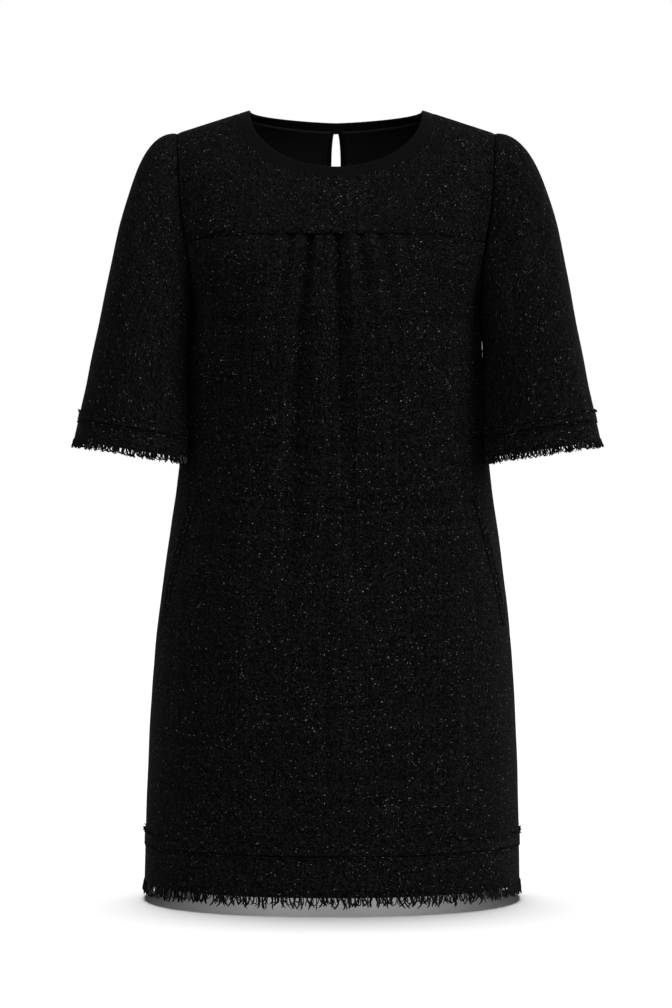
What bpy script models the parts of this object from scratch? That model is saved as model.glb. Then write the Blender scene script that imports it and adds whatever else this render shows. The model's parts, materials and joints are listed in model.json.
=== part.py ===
"""A collarless shift dress of black tweed, filled out as it is when worn.

A front and a back yoke carry the body panels, the front one gathered into its seam. Elbow sleeves are
set into the armholes, and the sleeves and the hem each end in a looped trim, a band and a fringe. A
plain binding finishes the neck and the keyhole at the back, which one button and its loop close.

Metres, +Z up, the front faces -Y and +X is the wearer's left. The origin is the middle of the shoulder
line, level with the neck points, where the shoulder seams meet the finished neck edge.
"""

import math

import bpy
import numpy as np
from mathutils import Matrix, Vector

MM = 0.001

# Cloth thicknesses, and the gap that is left between two pieces
TWEED = 2.0 * MM
BINDING = 2.6 * MM
LINING = 0.9 * MM
TRIM = 2.0 * MM
FRINGE = 1.6 * MM
GAP = 0.3 * MM
SEAM = GAP / 2

# Levels, as drops below the neck points
YOKE_DROP = 0.148
UNDERARM_DROP = 0.222
TRIM_DROP = 0.803
BAND_DROP = 0.818
HEM_DROP = 0.861
FRINGE_DROP = 0.875

# Shoulder line: the neck point and the shoulder point, as distances out, and its fall in each metre
NECK_POINT = 0.0963
SHOULDER_POINT = 0.177
SHOULDER_FALL = 0.325

# The body's level sections. The power is the superellipse's: 2 is an ellipse, and more is squarer.
SECTIONS = np.array([
    # drop   half_w  front  back   power
    (0.148, 0.1760, 0.103, 0.088, 2.90),
    (0.185, 0.1700, 0.115, 0.095, 2.60),
    (0.222, 0.1630, 0.122, 0.098, 2.40),
    (0.280, 0.1645, 0.127, 0.096, 2.30),
    (0.340, 0.1675, 0.127, 0.093, 2.25),
    (0.414, 0.1752, 0.128, 0.096, 2.20),
    (0.500, 0.1870, 0.132, 0.105, 2.20),
    (0.580, 0.1970, 0.137, 0.115, 2.20),
    (0.666, 0.2034, 0.141, 0.123, 2.20),
    (0.750, 0.2070, 0.144, 0.128, 2.20),
    (0.880, 0.2100, 0.147, 0.131, 2.20),
])

# The neck opening's edges, each from the centre out to the shoulder line. Powers are as above, and the
# depth's power is below 1, so that the neck edge crosses the shoulder level.
NECK_EDGES = {
    # edge: half_w, drop at the centre, depth at the centre, power of its outline, power of its depth
    "front_finished": (NECK_POINT, 0.0708, -0.0660, 2.05, 0.60),
    "front_seam": (0.1085, 0.0815, -0.0715, 2.20, 0.60),
    "back_finished": (NECK_POINT, 0.0062, 0.0560, 1.35, 0.45),
    "back_seam": (0.1085, 0.0172, 0.0620, 1.55, 0.52),
}
NECK_SHARE = 0.52  # of a yoke's width in columns, the rest of which start on the shoulder seam

# The keyhole is an upright ellipse on the centre back, with its top under the neck binding
KEYHOLE_DROP = 0.056
KEYHOLE_HALF_W = 0.0051
KEYHOLE_HALF_H = 0.042
KEYHOLE_BINDING = 0.0058

# The yoke seam is arched: how much lower it is at the armhole, and how far down the arch fades out
YOKE_SEAM_FALL = 0.0066
YOKE_FALL_RUN = 0.120

# Where the armhole crosses the yoke seam, in degrees round the section from its centre
ARMHOLE_ANGLE = {"front": 61.0, "back": 63.0}

# Soft troughs in the front, from a top drop to a bottom drop. The three places across are their
# middle line's at the top, half way (as a curve's pull) and at the bottom.
TROUGHS = [
    # top    bottom  x_top    x_pull   x_low    depth   w_top  w_low
    (0.148, 0.560, -0.0310, -0.0400, -0.0500, 0.0065, 0.010, 0.022),
    (0.148, 0.520, 0.0065, 0.0200, 0.0130, 0.0070, 0.010, 0.026),
    (0.230, 0.500, -0.1120, -0.1330, -0.1500, 0.0045, 0.018, 0.020),
    (0.230, 0.480, 0.1150, 0.1330, 0.1480, 0.0030, 0.018, 0.020),
]
PUFF = 2.0 * MM  # how far the gathered cloth stands out below the yoke seam
PUFF_RUN = 0.020
PUFF_HALF_W = 0.090

# The sleeve's lower end: its middle, half sizes and outward tilt, and the lengths of its finishes
CUFF_MIDDLE = np.array([0.2300, -0.0570, -0.3805])
CUFF_HALF_W = 0.0615
CUFF_HALF_D = 0.0550
CUFF_TILT = math.radians(8.9)
CUFF_BAND = 0.022
CUFF_TRIM = 0.012
CUFF_FRINGE = 0.010
RIGHT_CLOSER = 0.0055  # the right sleeve's outer side hangs this much closer

# How far the skirt hangs over to the wearer's right at its hem, and the drop where that starts
SWAY = 0.0045
SWAY_TOP = 0.240

# Pocket mouths: each end's drop and its angle round the section, and the welt's width and thickness
POCKET_ENDS = [(0.436, 58.0), (0.574, 70.5)]
POCKET_WIDTH = 0.009
POCKET_WELT = 1.6 * MM

# The button on the neck binding, behind, and the loop round it
BUTTON_RADIUS = 0.0042
BUTTON_HEIGHT = 0.0034
BUTTON_OUT = 0.0060
LOOP_WIRE = 0.6 * MM
LOOP_END = 0.0060

# How finely each wall is faceted: steps round it, and its rows as drops or as shares of its length
PANEL_COLUMNS = 26
NECK_COLUMNS = 8  # over a quarter of the neck edge
SHOULDER_COLUMNS = 3
SLEEVE_COLUMNS = 22
RING_COLUMNS = 2 * PANEL_COLUMNS
FRONT_DROPS = [
    YOKE_DROP, 0.161, 0.180, 0.202, UNDERARM_DROP, 0.270, 0.330, 0.400, 0.475, 0.560, 0.680, BAND_DROP
]
BACK_DROPS = [YOKE_DROP, 0.180, 0.202, UNDERARM_DROP, 0.290, 0.380, 0.475, 0.600, BAND_DROP]
YOKE_ROWS = np.array([0, 0.03, 0.12, 0.26, 0.42, 0.60, 0.80, 1.0])
SLEEVE_ROWS = np.array([0, 0.03, 0.10, 0.19, 0.31, 0.47, 0.66, 0.87, 1.0])


# ---------------------------------------------------------------- the worn shape, as functions

def smooth_curve(knots, values, at):
    """A cubic curve through the values at the knots, its slope at a knot taken from its neighbours."""
    slopes = np.gradient(values, knots, axis=0)
    i = np.clip(np.searchsorted(knots, at) - 1, 0, len(knots) - 2)
    span = (knots[i + 1] - knots[i])[..., None]
    t = (at[..., None] - knots[i][..., None]) / span
    return hermite(values[i], span * slopes[i], values[i + 1], span * slopes[i + 1], t)


def hermite(start, leaving, end, arriving, t):
    """A cubic from start to end that leaves and arrives along the two given directions."""
    return (
        (1 + 2 * t) * (1 - t) ** 2 * start
        + t * (1 - t) ** 2 * leaving
        + t * t * (3 - 2 * t) * end
        + t * t * (t - 1) * arriving
    )


def ease(t):
    """0 up to t = 0, 1 from t = 1, and a smooth step between."""
    t = np.clip(t, 0, 1)
    return t * t * (3 - 2 * t)


def unit(vectors):
    """The same directions at length 1."""
    return vectors / np.linalg.norm(vectors, axis=-1, keepdims=True)


def round_point(angle, power):
    """Across and along shares (0 to 1) of a superellipse in the direction of an angle."""
    across, along = np.sin(angle), np.cos(angle)
    reach = (np.abs(across) ** power + np.abs(along) ** power) ** (1 / power)
    return across / reach, along / reach


def body_point(angle, drop, face):
    """The worn surface below the yoke: angle 0 is the centre, a quarter turn is the side seam."""
    angle, drop = np.broadcast_arrays(np.asarray(angle, float), np.asarray(drop, float))
    sizes = smooth_curve(SECTIONS[:, 0], SECTIONS[:, 1:], drop)
    half_w, front, back, power = np.moveaxis(sizes, -1, 0)
    across, along = round_point(angle, power)
    depth = -front if face == "front" else back
    return np.stack([half_w * across, depth * along, -drop], axis=-1)


def armhole_angle(drop, face):
    """How far round the section the panel reaches at a drop: to the armhole, then to the side seam."""
    start = math.radians(ARMHOLE_ANGLE[face])
    down = np.clip((drop - YOKE_DROP) / (UNDERARM_DROP - YOKE_DROP), 0, 1)
    return start + (math.pi / 2 - start) * (1 - np.sqrt(1 - down**2))


def seam_fall(share, drop):
    """How far the yoke seam falls from the centre (share 0) to the armhole (1), fading out below it."""
    return YOKE_SEAM_FALL * np.abs(share) ** 2.5 * (1 - ease((drop - YOKE_DROP) / YOKE_FALL_RUN))


def swayed(points):
    """The points moved to the wearer's right by SWAY * t^0.7, t running from SWAY_TOP to the fringe's ends."""
    down = np.clip((-points[..., 2:] - SWAY_TOP) / (FRINGE_DROP - SWAY_TOP), 0, 1)
    return points - SWAY * down**0.7 * np.array([1, 0, 0])


def neck_edge(edge, angle):
    """A neck edge: angle 0 is the centre, a quarter turn is the shoulder line."""
    half_w, centre_drop, centre_depth, power, depth_power = NECK_EDGES[edge]
    across, along = round_point(angle, power)
    side_drop = (half_w - NECK_POINT) * SHOULDER_FALL
    drop = side_drop + (centre_drop - side_drop) * along
    depth = centre_depth * np.clip(along, 0, 1) ** depth_power
    return np.stack([half_w * across, depth, -drop], axis=-1)


def shoulder_seam(share):
    """The shoulder seam, from the neck's seam (0) to the shoulder point (1)."""
    start = NECK_EDGES["front_seam"][0]
    across = start + (SHOULDER_POINT - start) * share
    return np.stack([across, 0 * across, -(across - NECK_POINT) * SHOULDER_FALL], axis=-1)


def yoke_point(across, down, face):
    """A yoke's surface: across 0 is the centre and 1 the armhole, down 0 its top edge and 1 its seam.

    Each column is a cubic. At the top it is in line with the neck binding or goes level over the
    shoulder, and at the bottom it is in line with the panel below.
    """
    across, down = np.broadcast_arrays(np.asarray(across, float), np.asarray(down, float))
    forward = -1.0 if face == "front" else 1.0
    on_neck = np.clip(across / NECK_SHARE, 0, 1) * math.pi / 2
    at_neck = (across < NECK_SHARE)[..., None]
    edge = neck_edge(f"{face}_seam", on_neck)
    along_neck = neck_edge(f"{face}_seam", on_neck + 0.01) - neck_edge(f"{face}_seam", on_neck - 0.01)
    neck_normal = np.cross(edge - neck_edge(f"{face}_finished", on_neck), along_neck)
    ridge_normal = np.array([SHOULDER_FALL, 0, 1])
    normal = unit(np.where(at_neck, neck_normal, ridge_normal))
    on_shoulder = np.clip((across - NECK_SHARE) / (1 - NECK_SHARE), 0, 1)
    top = np.where(at_neck, edge, shoulder_seam(on_shoulder))
    sideways = 0.6 * np.where(across < NECK_SHARE, np.sin(on_neck), 1 - on_shoulder) ** 2
    leaving = np.stack([sideways, forward + 0 * sideways, -1.2 * np.cos(on_neck)], axis=-1)
    leaving = unit(leaving - np.sum(leaving * normal, axis=-1, keepdims=True) * normal)
    angle = across * math.radians(ARMHOLE_ANGLE[face])
    seam_drop = YOKE_DROP + seam_fall(across, YOKE_DROP)
    low = body_point(angle, seam_drop, face)
    arriving = unit(body_point(angle, seam_drop + 0.02, face) - low)
    length = np.linalg.norm(low - top, axis=-1, keepdims=True)
    return hermite(top, leaving * length * 1.0, low, arriving * length * 0.9, down[..., None])


def trough_depth(points):
    """How far the front's soft folds and gathers press each of its points in."""
    across, drop = points[..., 0], -points[..., 2]
    pressed = -PUFF * ease((drop - YOKE_DROP) / PUFF_RUN) * np.exp(-((across / PUFF_HALF_W) ** 4))
    pressed = pressed * (1 - ease((drop - YOKE_DROP) / 0.3))
    for top, bottom, x_top, x_pull, x_low, depth, w_top, w_low in TROUGHS:
        t = np.clip((drop - top) / (bottom - top), 0, 1)
        middle = (1 - t) ** 2 * x_top + 2 * t * (1 - t) * x_pull + t * t * x_low
        width = w_top + (w_low - w_top) * np.sqrt(t)
        shape = ease((drop - top) / 0.025) * (1 - t) ** 0.8
        pressed = pressed + depth * shape * np.exp(-(((across - middle) / width) ** 2))
    return pressed


def armhole(turns):
    """The wearer's left armhole: turn 0 is the shoulder point, 0.25 its front, 0.5 the underarm."""
    found = []
    for face in ("front", "back"):
        drops = YOKE_DROP + (UNDERARM_DROP - YOKE_DROP) * np.sin(np.linspace(0, math.pi / 2, 40)[1:])
        half = np.concatenate([
            yoke_point(1.0, np.linspace(0, 1, 40), face),
            body_point(armhole_angle(drops, face), drops + seam_fall(1.0, drops), face),
        ])
        run = np.concatenate([[0], np.cumsum(np.linalg.norm(np.diff(half, axis=0), axis=1))])
        at = run[-1] * 2 * np.where(turns <= 0.5, turns, 1 - turns)
        found.append(np.stack([np.interp(at, run, half[:, k]) for k in range(3)], axis=-1))
    return np.where((turns <= 0.5)[:, None], *found)


def sleeve_grid(turns, shares=None, heights=None, closer=0.0):
    """Points of the left sleeve, a column for each turn and a row for each share or height.

    A column is a cubic from the armhole to the cuff's edge. Shares run from the armhole (0) to the top
    of the cuff's band (1), and heights are measured up from the cuff's edge, or on past it if below 0.
    closer is how far the outer side of the arm comes in.
    """
    top, front = np.cos(2 * math.pi * turns)[:, None], np.sin(2 * math.pi * turns)[:, None]
    across, forward, up = np.eye(3)
    ahead = 0.42 * front + 0.20 * (1 - top)
    leaving = unit(across * (0.62 + 0.38 * top) - forward * ahead + up * (0.50 * top - 0.44))
    outwards = across * math.cos(CUFF_TILT) + up * math.sin(CUFF_TILT)
    start = armhole(turns) + leaving * GAP
    end = CUFF_MIDDLE + CUFF_HALF_W * top * outwards - CUFF_HALF_D * front * forward
    arriving = unit(across * (0.125 + 0.095 * top) - forward * 0.14 - up)
    t = np.linspace(0, 1, 121)[:, None, None]
    leaving, arriving = leaving * (0.18 + 0.03 * top), arriving * (0.36 + 0.12 * top)
    dense = hermite(start, leaving, end, arriving, t)
    dense -= closer * (1 + top) / 2 * ease(t / 0.45) * (1 - 0.5 * ease((t - 0.5) / 0.5)) * across
    run = np.cumsum(np.linalg.norm(np.diff(dense, axis=0, prepend=dense[:1]), axis=-1), axis=0)
    if heights is None:
        at = np.asarray(shares)[:, None] * (run[-1] - CUFF_BAND - SEAM)
    else:
        at = run[-1] - np.asarray(heights)[:, None]
    grid = np.empty(at.shape + (3,))
    for j in range(len(turns)):
        for k in range(3):
            grid[:, j, k] = np.interp(at[:, j], run[:, j], dense[:, j, k])
    return grid + np.maximum(at - run[-1], 0)[..., None] * unit(arriving)


# ---------------------------------------------------------------- making Blender objects

def new_material(name, colour, roughness):
    """A plain cloth finish."""
    material = bpy.data.materials.new(name)
    material.use_nodes = True
    shader = material.node_tree.nodes["Principled BSDF"]
    shader.inputs["Base Color"].default_value = (*colour, 1)
    shader.inputs["Roughness"].default_value = roughness
    shader.inputs["Metallic"].default_value = 0
    material.diffuse_color = (*colour, 1)
    return material


def place(name, data, material):
    """Puts a mesh or a curve in the dress's collection as one named piece."""
    data.materials.append(material)
    piece = bpy.data.objects.new(name, data)
    dress.objects.link(piece)
    return piece


def grid_normals(points, closed):
    """Unit normals of a grid of points, from the differences along its rows and its columns."""
    if closed:
        along = np.roll(points, -1, axis=1) - np.roll(points, 1, axis=1)
    else:
        along = np.gradient(points, axis=1)
    return unit(np.cross(np.gradient(points, axis=0), along))


def wall(name, points, thickness, material, closed=False, mirror=False, lift=0.0):
    """A cloth wall whose outer face is a grid of points; Solidify thickens it inwards.

    The rows run down and the columns to the wearer's left in front, so that the faces look outwards.
    lift moves the grid out along its own normals, for a piece that lies on another.
    """
    points = points + grid_normals(points, closed) * lift
    rows, columns = points.shape[:2]
    ends = columns if closed else columns - 1
    faces = []
    for upper in range(0, (rows - 1) * columns, columns):
        for j in range(ends):
            lower, beside = upper + columns, (j + 1) % columns
            faces.append((upper + j, lower + j, lower + beside, upper + beside))
    mesh = bpy.data.meshes.new(name)
    mesh.from_pydata(points.reshape(-1, 3).tolist(), [], faces)
    mesh.shade_smooth()
    piece = place(name, mesh, material)
    if mirror:
        halves = piece.modifiers.new("both halves", "MIRROR")
        halves.merge_threshold = 0.05 * MM
    cloth = piece.modifiers.new("cloth", "SOLIDIFY")
    cloth.thickness = thickness
    cloth.offset = -1
    cloth.use_even_offset = True
    return piece


def mirrored(points):
    """The same grid on the wearer's other side, its columns in the other order so that it faces out."""
    return (points * np.array([-1, 1, 1]))[:, ::-1]


# ---------------------------------------------------------------- the pieces

def panel_grid(face, drops, columns):
    """Points of a body panel, from the armhole or side seam on one side to that on the other."""
    drops = np.asarray(drops, float)[:, None]
    drops = drops + SEAM * np.where(drops == drops[0], 1, np.where(drops == drops[-1], -1, 0))
    shares = np.linspace(-1, 1, columns + 1)[None, :]
    reach = armhole_angle(drops, face) - GAP / np.abs(body_point(0, drops, face)[..., 1])
    points = body_point(reach * np.abs(shares), drops + seam_fall(shares, drops), face)
    points[..., 0] *= np.sign(shares)
    return swayed(points)


def make_body():
    """The front panel with its gathers and folds, and the back panel."""
    front = panel_grid("front", FRONT_DROPS, PANEL_COLUMNS)
    inwards = unit(front * np.array([-1, -1, 0]))
    wall("body_front", front + inwards * trough_depth(front)[..., None], TWEED, tweed)
    wall("body_back", panel_grid("back", BACK_DROPS, PANEL_COLUMNS)[:, ::-1], TWEED, tweed)


def yoke_columns():
    """Shares across half a yoke: even steps round the neck edge, then along the shoulder seam."""
    on_neck = np.linspace(0, NECK_SHARE, NECK_COLUMNS + 1)
    return np.concatenate([on_neck, np.linspace(NECK_SHARE, 1, SHOULDER_COLUMNS + 1)[1:]])


def make_front_yoke():
    """The plain front yoke, from the neck and shoulder seams down to the seam over the gathers."""
    down = SEAM / 0.08 + YOKE_ROWS[:, None] * (1 - 2 * SEAM / 0.08)
    half = yoke_columns()
    across = np.concatenate([-half[:0:-1], half])[None, :] * (1 - SEAM / SHOULDER_POINT)
    points = yoke_point(np.abs(across), down, "front")
    points[..., 0] *= np.sign(across)
    wall("yoke_front", points, TWEED, tweed)


def on_back_yoke(out, drop):
    """The back yoke's surface near the centre back, at a distance out and a drop."""
    shares = np.linspace(0, 1, 200)
    down = np.interp(drop, -yoke_point(0.0, shares, "back")[:, 2], shares)
    points = yoke_point(0.1 * np.abs(out) / yoke_point(0.1, down, "back")[..., 0], down, "back")
    points[..., 0] *= np.where(out < 0, -1.0, 1.0)
    return points


def back_yoke_half(margin):
    """The wearer's left half of the back yoke, from the keyhole or the centre out to the armhole."""
    beyond = KEYHOLE_BINDING + margin + 2 * GAP
    bottom_drop = KEYHOLE_DROP + KEYHOLE_HALF_H + beyond
    shares = np.linspace(0, 1, 200)
    bottom = np.interp(bottom_drop, -yoke_point(0.0, shares, "back")[:, 2], shares)
    edge = (margin + GAP) / 0.1
    beside = edge + (bottom - edge) * np.array([0, 0.05, 0.20, 0.42, 0.66, 0.86, 0.96, 1.0])
    below = bottom + (1 - edge - bottom) * np.array([0.4, 1.0])
    down = np.concatenate([beside, below])[:, None]
    drop = -yoke_point(0.0, down, "back")[..., 2]
    height = (drop - KEYHOLE_DROP) / (bottom_drop - KEYHOLE_DROP)
    cut = (KEYHOLE_HALF_W + beyond) * np.sqrt(np.clip(1 - height**2, 0, 1))
    cut[len(beside) - 1:] = 0
    start = 0.1 * cut / yoke_point(0.1, down, "back")[..., 0]
    half = yoke_columns()[None, :] * (1 - margin / SHOULDER_POINT)
    across = half + start * np.clip(1 - half / 0.15, 0, 1)
    points = yoke_point(across, down, "back")
    points[len(beside) - 1:, 0, 0] = 0
    return points[:, ::-1]


def make_back_yoke():
    """The back yoke round the keyhole, and the lining that shows inside it."""
    wall("yoke_back", back_yoke_half(SEAM), TWEED, tweed, mirror=True)
    wall("back_lining", back_yoke_half(SEAM), LINING, crepe, mirror=True, lift=-TWEED - 2 * GAP)


def make_keyhole_binding():
    """The binding round the keyhole: a strip between two ellipses, open at the top under the neck's."""
    top_drop = NECK_EDGES["back_seam"][1] + GAP + SEAM
    shares = np.linspace(-1, 1, 21)
    rows = []
    for wide in (KEYHOLE_BINDING - SEAM, 0):
        half_w, half_h = KEYHOLE_HALF_W + wide, KEYHOLE_HALF_H + wide
        turn = shares * math.acos((top_drop - KEYHOLE_DROP) / half_h)
        rows.append(on_back_yoke(half_w * np.sin(turn), KEYHOLE_DROP + half_h * np.cos(turn)))
    wall("keyhole_binding", np.stack(rows), TWEED, crepe)


def make_neck_binding():
    """The neck binding: a strip from the finished edge to the seam, its two ends at the centre back."""
    turns = np.linspace(-1, 1, 4 * NECK_COLUMNS + 1) * (math.pi - SEAM / NECK_POINT)
    from_centre = np.where(np.abs(turns) > math.pi / 2, math.pi - np.abs(turns), np.abs(turns))
    side = np.where(turns < 0, -1.0, 1.0)
    in_front = (np.abs(turns) <= math.pi / 2)[:, None]
    rows = []
    for share in (0, 0.5, 1 - SEAM / 0.012):
        row = np.zeros((len(turns), 3))
        for edge, weight in (("finished", 1 - share), ("seam", share)):
            row += weight * np.where(
                in_front, neck_edge(f"front_{edge}", from_centre), neck_edge(f"back_{edge}", from_centre)
            )
        row[:, 0] *= side
        rows.append(row)
    wall("neck_binding", np.stack(rows), BINDING, crepe)


def make_closure():
    """The covered button behind the neck, beside the centre back, and the thread loop round it."""
    finished, seam = neck_edge("back_finished", np.array(0.0)), neck_edge("back_seam", np.array(0.0))
    middle, down = Vector((finished + seam) / 2), Vector(seam - finished).normalized()
    across = Vector((1, 0, 0))
    out = across.cross(down)
    place_there = Matrix.Translation(middle) @ Matrix((across, down, out)).transposed().to_4x4()

    mesh = bpy.data.meshes.new("button")
    dome = [(0, 1), (0.45, 0.93), (0.8, 0.68), (1, 0.28), (0.92, 0.05), (0.8, 0)]
    profile = [(BUTTON_RADIUS * r, 0, BUTTON_HEIGHT * h) for r, h in dome] + [(0, 0, 0)]
    mesh.from_pydata(profile, [(i, i + 1) for i in range(len(profile) - 1)], [])
    button = place("button", mesh, crepe)
    button.matrix_world = place_there @ Matrix.Translation((BUTTON_OUT, 0, 2 * GAP))
    turned = button.modifiers.new("turned", "SCREW")
    turned.steps = turned.render_steps = 16
    turned.use_merge_vertices = True
    turned.merge_threshold = 0.01 * MM

    round_button = BUTTON_RADIUS + GAP + LOOP_WIRE
    turn = np.linspace(math.pi / 2, -math.pi / 2, 9)
    path = [(-LOOP_END, round_button * 0.55), (0, round_button * 0.86)]
    path += [(BUTTON_OUT + round_button * math.cos(a), round_button * math.sin(a)) for a in turn]
    path += [(0, -round_button * 0.86), (-LOOP_END, -round_button * 0.55)]
    curve = bpy.data.curves.new("button_loop", "CURVE")
    curve.dimensions = "3D"
    curve.bevel_depth = LOOP_WIRE
    curve.bevel_resolution = 2
    curve.use_fill_caps = True
    spline = curve.splines.new("POLY")
    spline.points.add(len(path) - 1)
    for point, (x, y) in zip(spline.points, path):
        point.co = (x, y, LOOP_WIRE + 2 * GAP, 1)
    loop = place("button_loop", curve, crepe)
    loop.matrix_world = place_there


def make_pocket_welts():
    """A narrow welt along each slanted pocket mouth, made from the front panel's points."""
    (top_drop, top_angle), (low_drop, low_angle) = POCKET_ENDS
    along = np.linspace(0, 1, 9)[:, None]
    drop = top_drop + (low_drop - top_drop) * along
    angle = np.radians(top_angle + (low_angle - top_angle) * along)
    step = body_point(angle + 0.01, drop, "front") - body_point(angle, drop, "front")
    half = 0.01 * POCKET_WIDTH / 2 / np.linalg.norm(step, axis=-1)
    points = body_point(angle + half * np.array([-1, 0, 1]), drop, "front")
    for side, placed in (("left", points), ("right", mirrored(points))):
        wall(f"pocket_welt_{side}", swayed(placed), POCKET_WELT, tweed, lift=POCKET_WELT + 2 * GAP)


def make_sleeves():
    """Both sleeves, each with its cuff's looped trim, band and fringe."""
    turns = np.arange(SLEEVE_COLUMNS) / SLEEVE_COLUMNS
    finishes = {
        # piece: heights above the cuff's edge, thickness, lift
        "cuff_trim": ([CUFF_BAND + CUFF_TRIM, CUFF_BAND + 2 * GAP], TRIM, TRIM + 2 * GAP),
        "cuff_band": ([CUFF_BAND - SEAM, 0], TWEED, 0),
        "cuff_fringe": ([-GAP, -CUFF_FRINGE], FRINGE, 0),
    }
    for side, closer in (("left", 0.0), ("right", RIGHT_CLOSER)):
        pieces = [("sleeve", sleeve_grid(turns, shares=SLEEVE_ROWS, closer=closer), TWEED, 0)]
        for name, (heights, thickness, lift) in finishes.items():
            pieces.append((name, sleeve_grid(turns, heights=heights, closer=closer), thickness, lift))
        for name, points, thickness, lift in pieces:
            # turns run from the shoulder to the front, which is towards the wearer's right on the left arm
            points = points[:, ::-1] if side == "left" else points * np.array([-1, 1, 1])
            wall(f"{name}_{side}", points, thickness, tweed, closed=True, lift=lift)


def make_hem():
    """The hem's looped trim, which lies on the panels, its band and its fringe, each all the way round."""
    angle = np.arange(RING_COLUMNS) * 2 * math.pi / RING_COLUMNS
    in_front = (np.cos(angle) >= -1e-9)[:, None]
    finishes = {
        # piece: drops, thickness, lift
        "hem_trim": ([TRIM_DROP, BAND_DROP - 2 * GAP], TRIM, TRIM + 2 * GAP),
        "hem_band": ([BAND_DROP + SEAM, HEM_DROP], TWEED, 0),
        "hem_fringe": ([HEM_DROP + GAP, FRINGE_DROP], FRINGE, 0),
    }
    for name, (drops, thickness, lift) in finishes.items():
        rows = []
        for drop in drops:
            front = body_point(angle, drop, "front")
            back = body_point(math.pi - angle, drop, "back")
            rows.append(swayed(np.where(in_front, front, back)))
        wall(name, np.stack(rows), thickness, tweed, closed=True, lift=lift)


for old in list(bpy.data.objects):
    bpy.data.objects.remove(old)
dress = bpy.data.collections.new("shift_dress")
bpy.context.scene.collection.children.link(dress)
tweed = new_material("black tweed", (0.010, 0.010, 0.011), 0.9)
crepe = new_material("black crepe", (0.012, 0.012, 0.013), 0.6)

make_body()
make_front_yoke()
make_back_yoke()
make_keyhole_binding()
make_neck_binding()
make_closure()
make_pocket_welts()
make_sleeves()
make_hem()
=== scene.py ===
# %% [markdown]
# # A black tweed shift dress
# The real dress is cut from looped black tweed with pale metallic flecks. A plain yoke carries a gathered
# front, the sleeves end at the elbow, and the hem and cuffs carry the tweed's own yarns, pulled out as a
# trim and a fringe. Here every piece is a surface worked out with numpy on a grid, in the frame of the
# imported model: metres, +Z up, the front faces -Y, and the origin is the middle of the shoulder line.

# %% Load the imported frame
import json
import math
from functools import partial

import bmesh
import bpy
import numpy as np
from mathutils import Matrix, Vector

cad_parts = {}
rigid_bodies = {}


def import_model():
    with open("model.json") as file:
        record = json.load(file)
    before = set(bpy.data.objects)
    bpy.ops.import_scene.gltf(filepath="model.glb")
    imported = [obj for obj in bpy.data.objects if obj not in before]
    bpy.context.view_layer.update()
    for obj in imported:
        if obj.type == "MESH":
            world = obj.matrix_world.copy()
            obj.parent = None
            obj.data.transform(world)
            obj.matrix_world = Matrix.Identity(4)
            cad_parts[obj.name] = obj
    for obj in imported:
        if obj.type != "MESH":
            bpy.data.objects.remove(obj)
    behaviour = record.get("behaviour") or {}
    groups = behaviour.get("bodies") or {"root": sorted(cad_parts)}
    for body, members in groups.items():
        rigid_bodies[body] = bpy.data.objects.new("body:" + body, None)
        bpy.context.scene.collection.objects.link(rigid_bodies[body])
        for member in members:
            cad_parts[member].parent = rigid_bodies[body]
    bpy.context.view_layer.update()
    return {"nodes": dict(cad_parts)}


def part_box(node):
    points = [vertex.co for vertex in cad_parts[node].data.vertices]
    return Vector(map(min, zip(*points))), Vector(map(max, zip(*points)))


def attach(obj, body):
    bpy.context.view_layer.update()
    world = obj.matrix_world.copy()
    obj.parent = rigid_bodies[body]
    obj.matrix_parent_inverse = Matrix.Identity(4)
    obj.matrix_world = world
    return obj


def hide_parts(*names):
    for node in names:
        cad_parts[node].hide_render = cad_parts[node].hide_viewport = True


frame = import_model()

rng = np.random.default_rng(7)
print("nodes:", len(frame["nodes"]))

# %% [markdown]
# ## Levels and sizes
# A dressmaker works down from the shoulder, so most places here are drops below the neck points. The
# levels of the trims are read from the frame's own nodes. The body's sections repeat the pattern that the
# solids were cut to: half width, depth in front and behind, and how square the section is.

# %% Driving sizes
MM = 0.001
TWEED, LINING = 1.9 * MM, 0.8 * MM
SEAM_GAP = 0.3 * MM
MIRROR = np.array([-1, 1, 1])
YOKE_DROP = 0.148
UNDERARM_DROP = 0.222
TRIM_DROP = -float(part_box("hem_trim")[1][2])
BAND_DROP = -float(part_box("hem_band")[1][2])
HEM_DROP = -float(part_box("hem_band")[0][2])
FRINGE_DROP = -float(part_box("hem_fringe")[0][2])
NECK_POINT, SHOULDER_POINT, SHOULDER_FALL = 0.0963, 0.177, 0.325

SECTIONS = np.array([
    # drop   half_w  front  back   power
    (0.148, 0.1760, 0.103, 0.088, 2.90),
    (0.185, 0.1700, 0.115, 0.095, 2.60),
    (0.222, 0.1630, 0.122, 0.098, 2.40),
    (0.280, 0.1645, 0.127, 0.096, 2.30),
    (0.340, 0.1675, 0.127, 0.093, 2.25),
    (0.414, 0.1752, 0.128, 0.096, 2.20),
    (0.500, 0.1870, 0.132, 0.105, 2.20),
    (0.580, 0.1970, 0.137, 0.115, 2.20),
    (0.666, 0.2034, 0.141, 0.123, 2.20),
    (0.750, 0.2070, 0.144, 0.128, 2.20),
    (0.880, 0.2100, 0.147, 0.131, 2.20),
])
NECK_EDGES = {
    # edge: half_w, drop at the centre, depth at the centre, power of its outline, power of its depth
    "front_finished": (NECK_POINT, 0.0708, -0.0660, 2.05, 0.60),
    "front_seam": (0.1085, 0.0815, -0.0715, 2.20, 0.60),
    "back_finished": (NECK_POINT, 0.0062, 0.0560, 1.35, 0.45),
    "back_seam": (0.1085, 0.0172, 0.0620, 1.55, 0.52),
}
NECK_SHARE = 0.52
ARMHOLE_ANGLE = {"front": 61.0, "back": 63.0}
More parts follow.
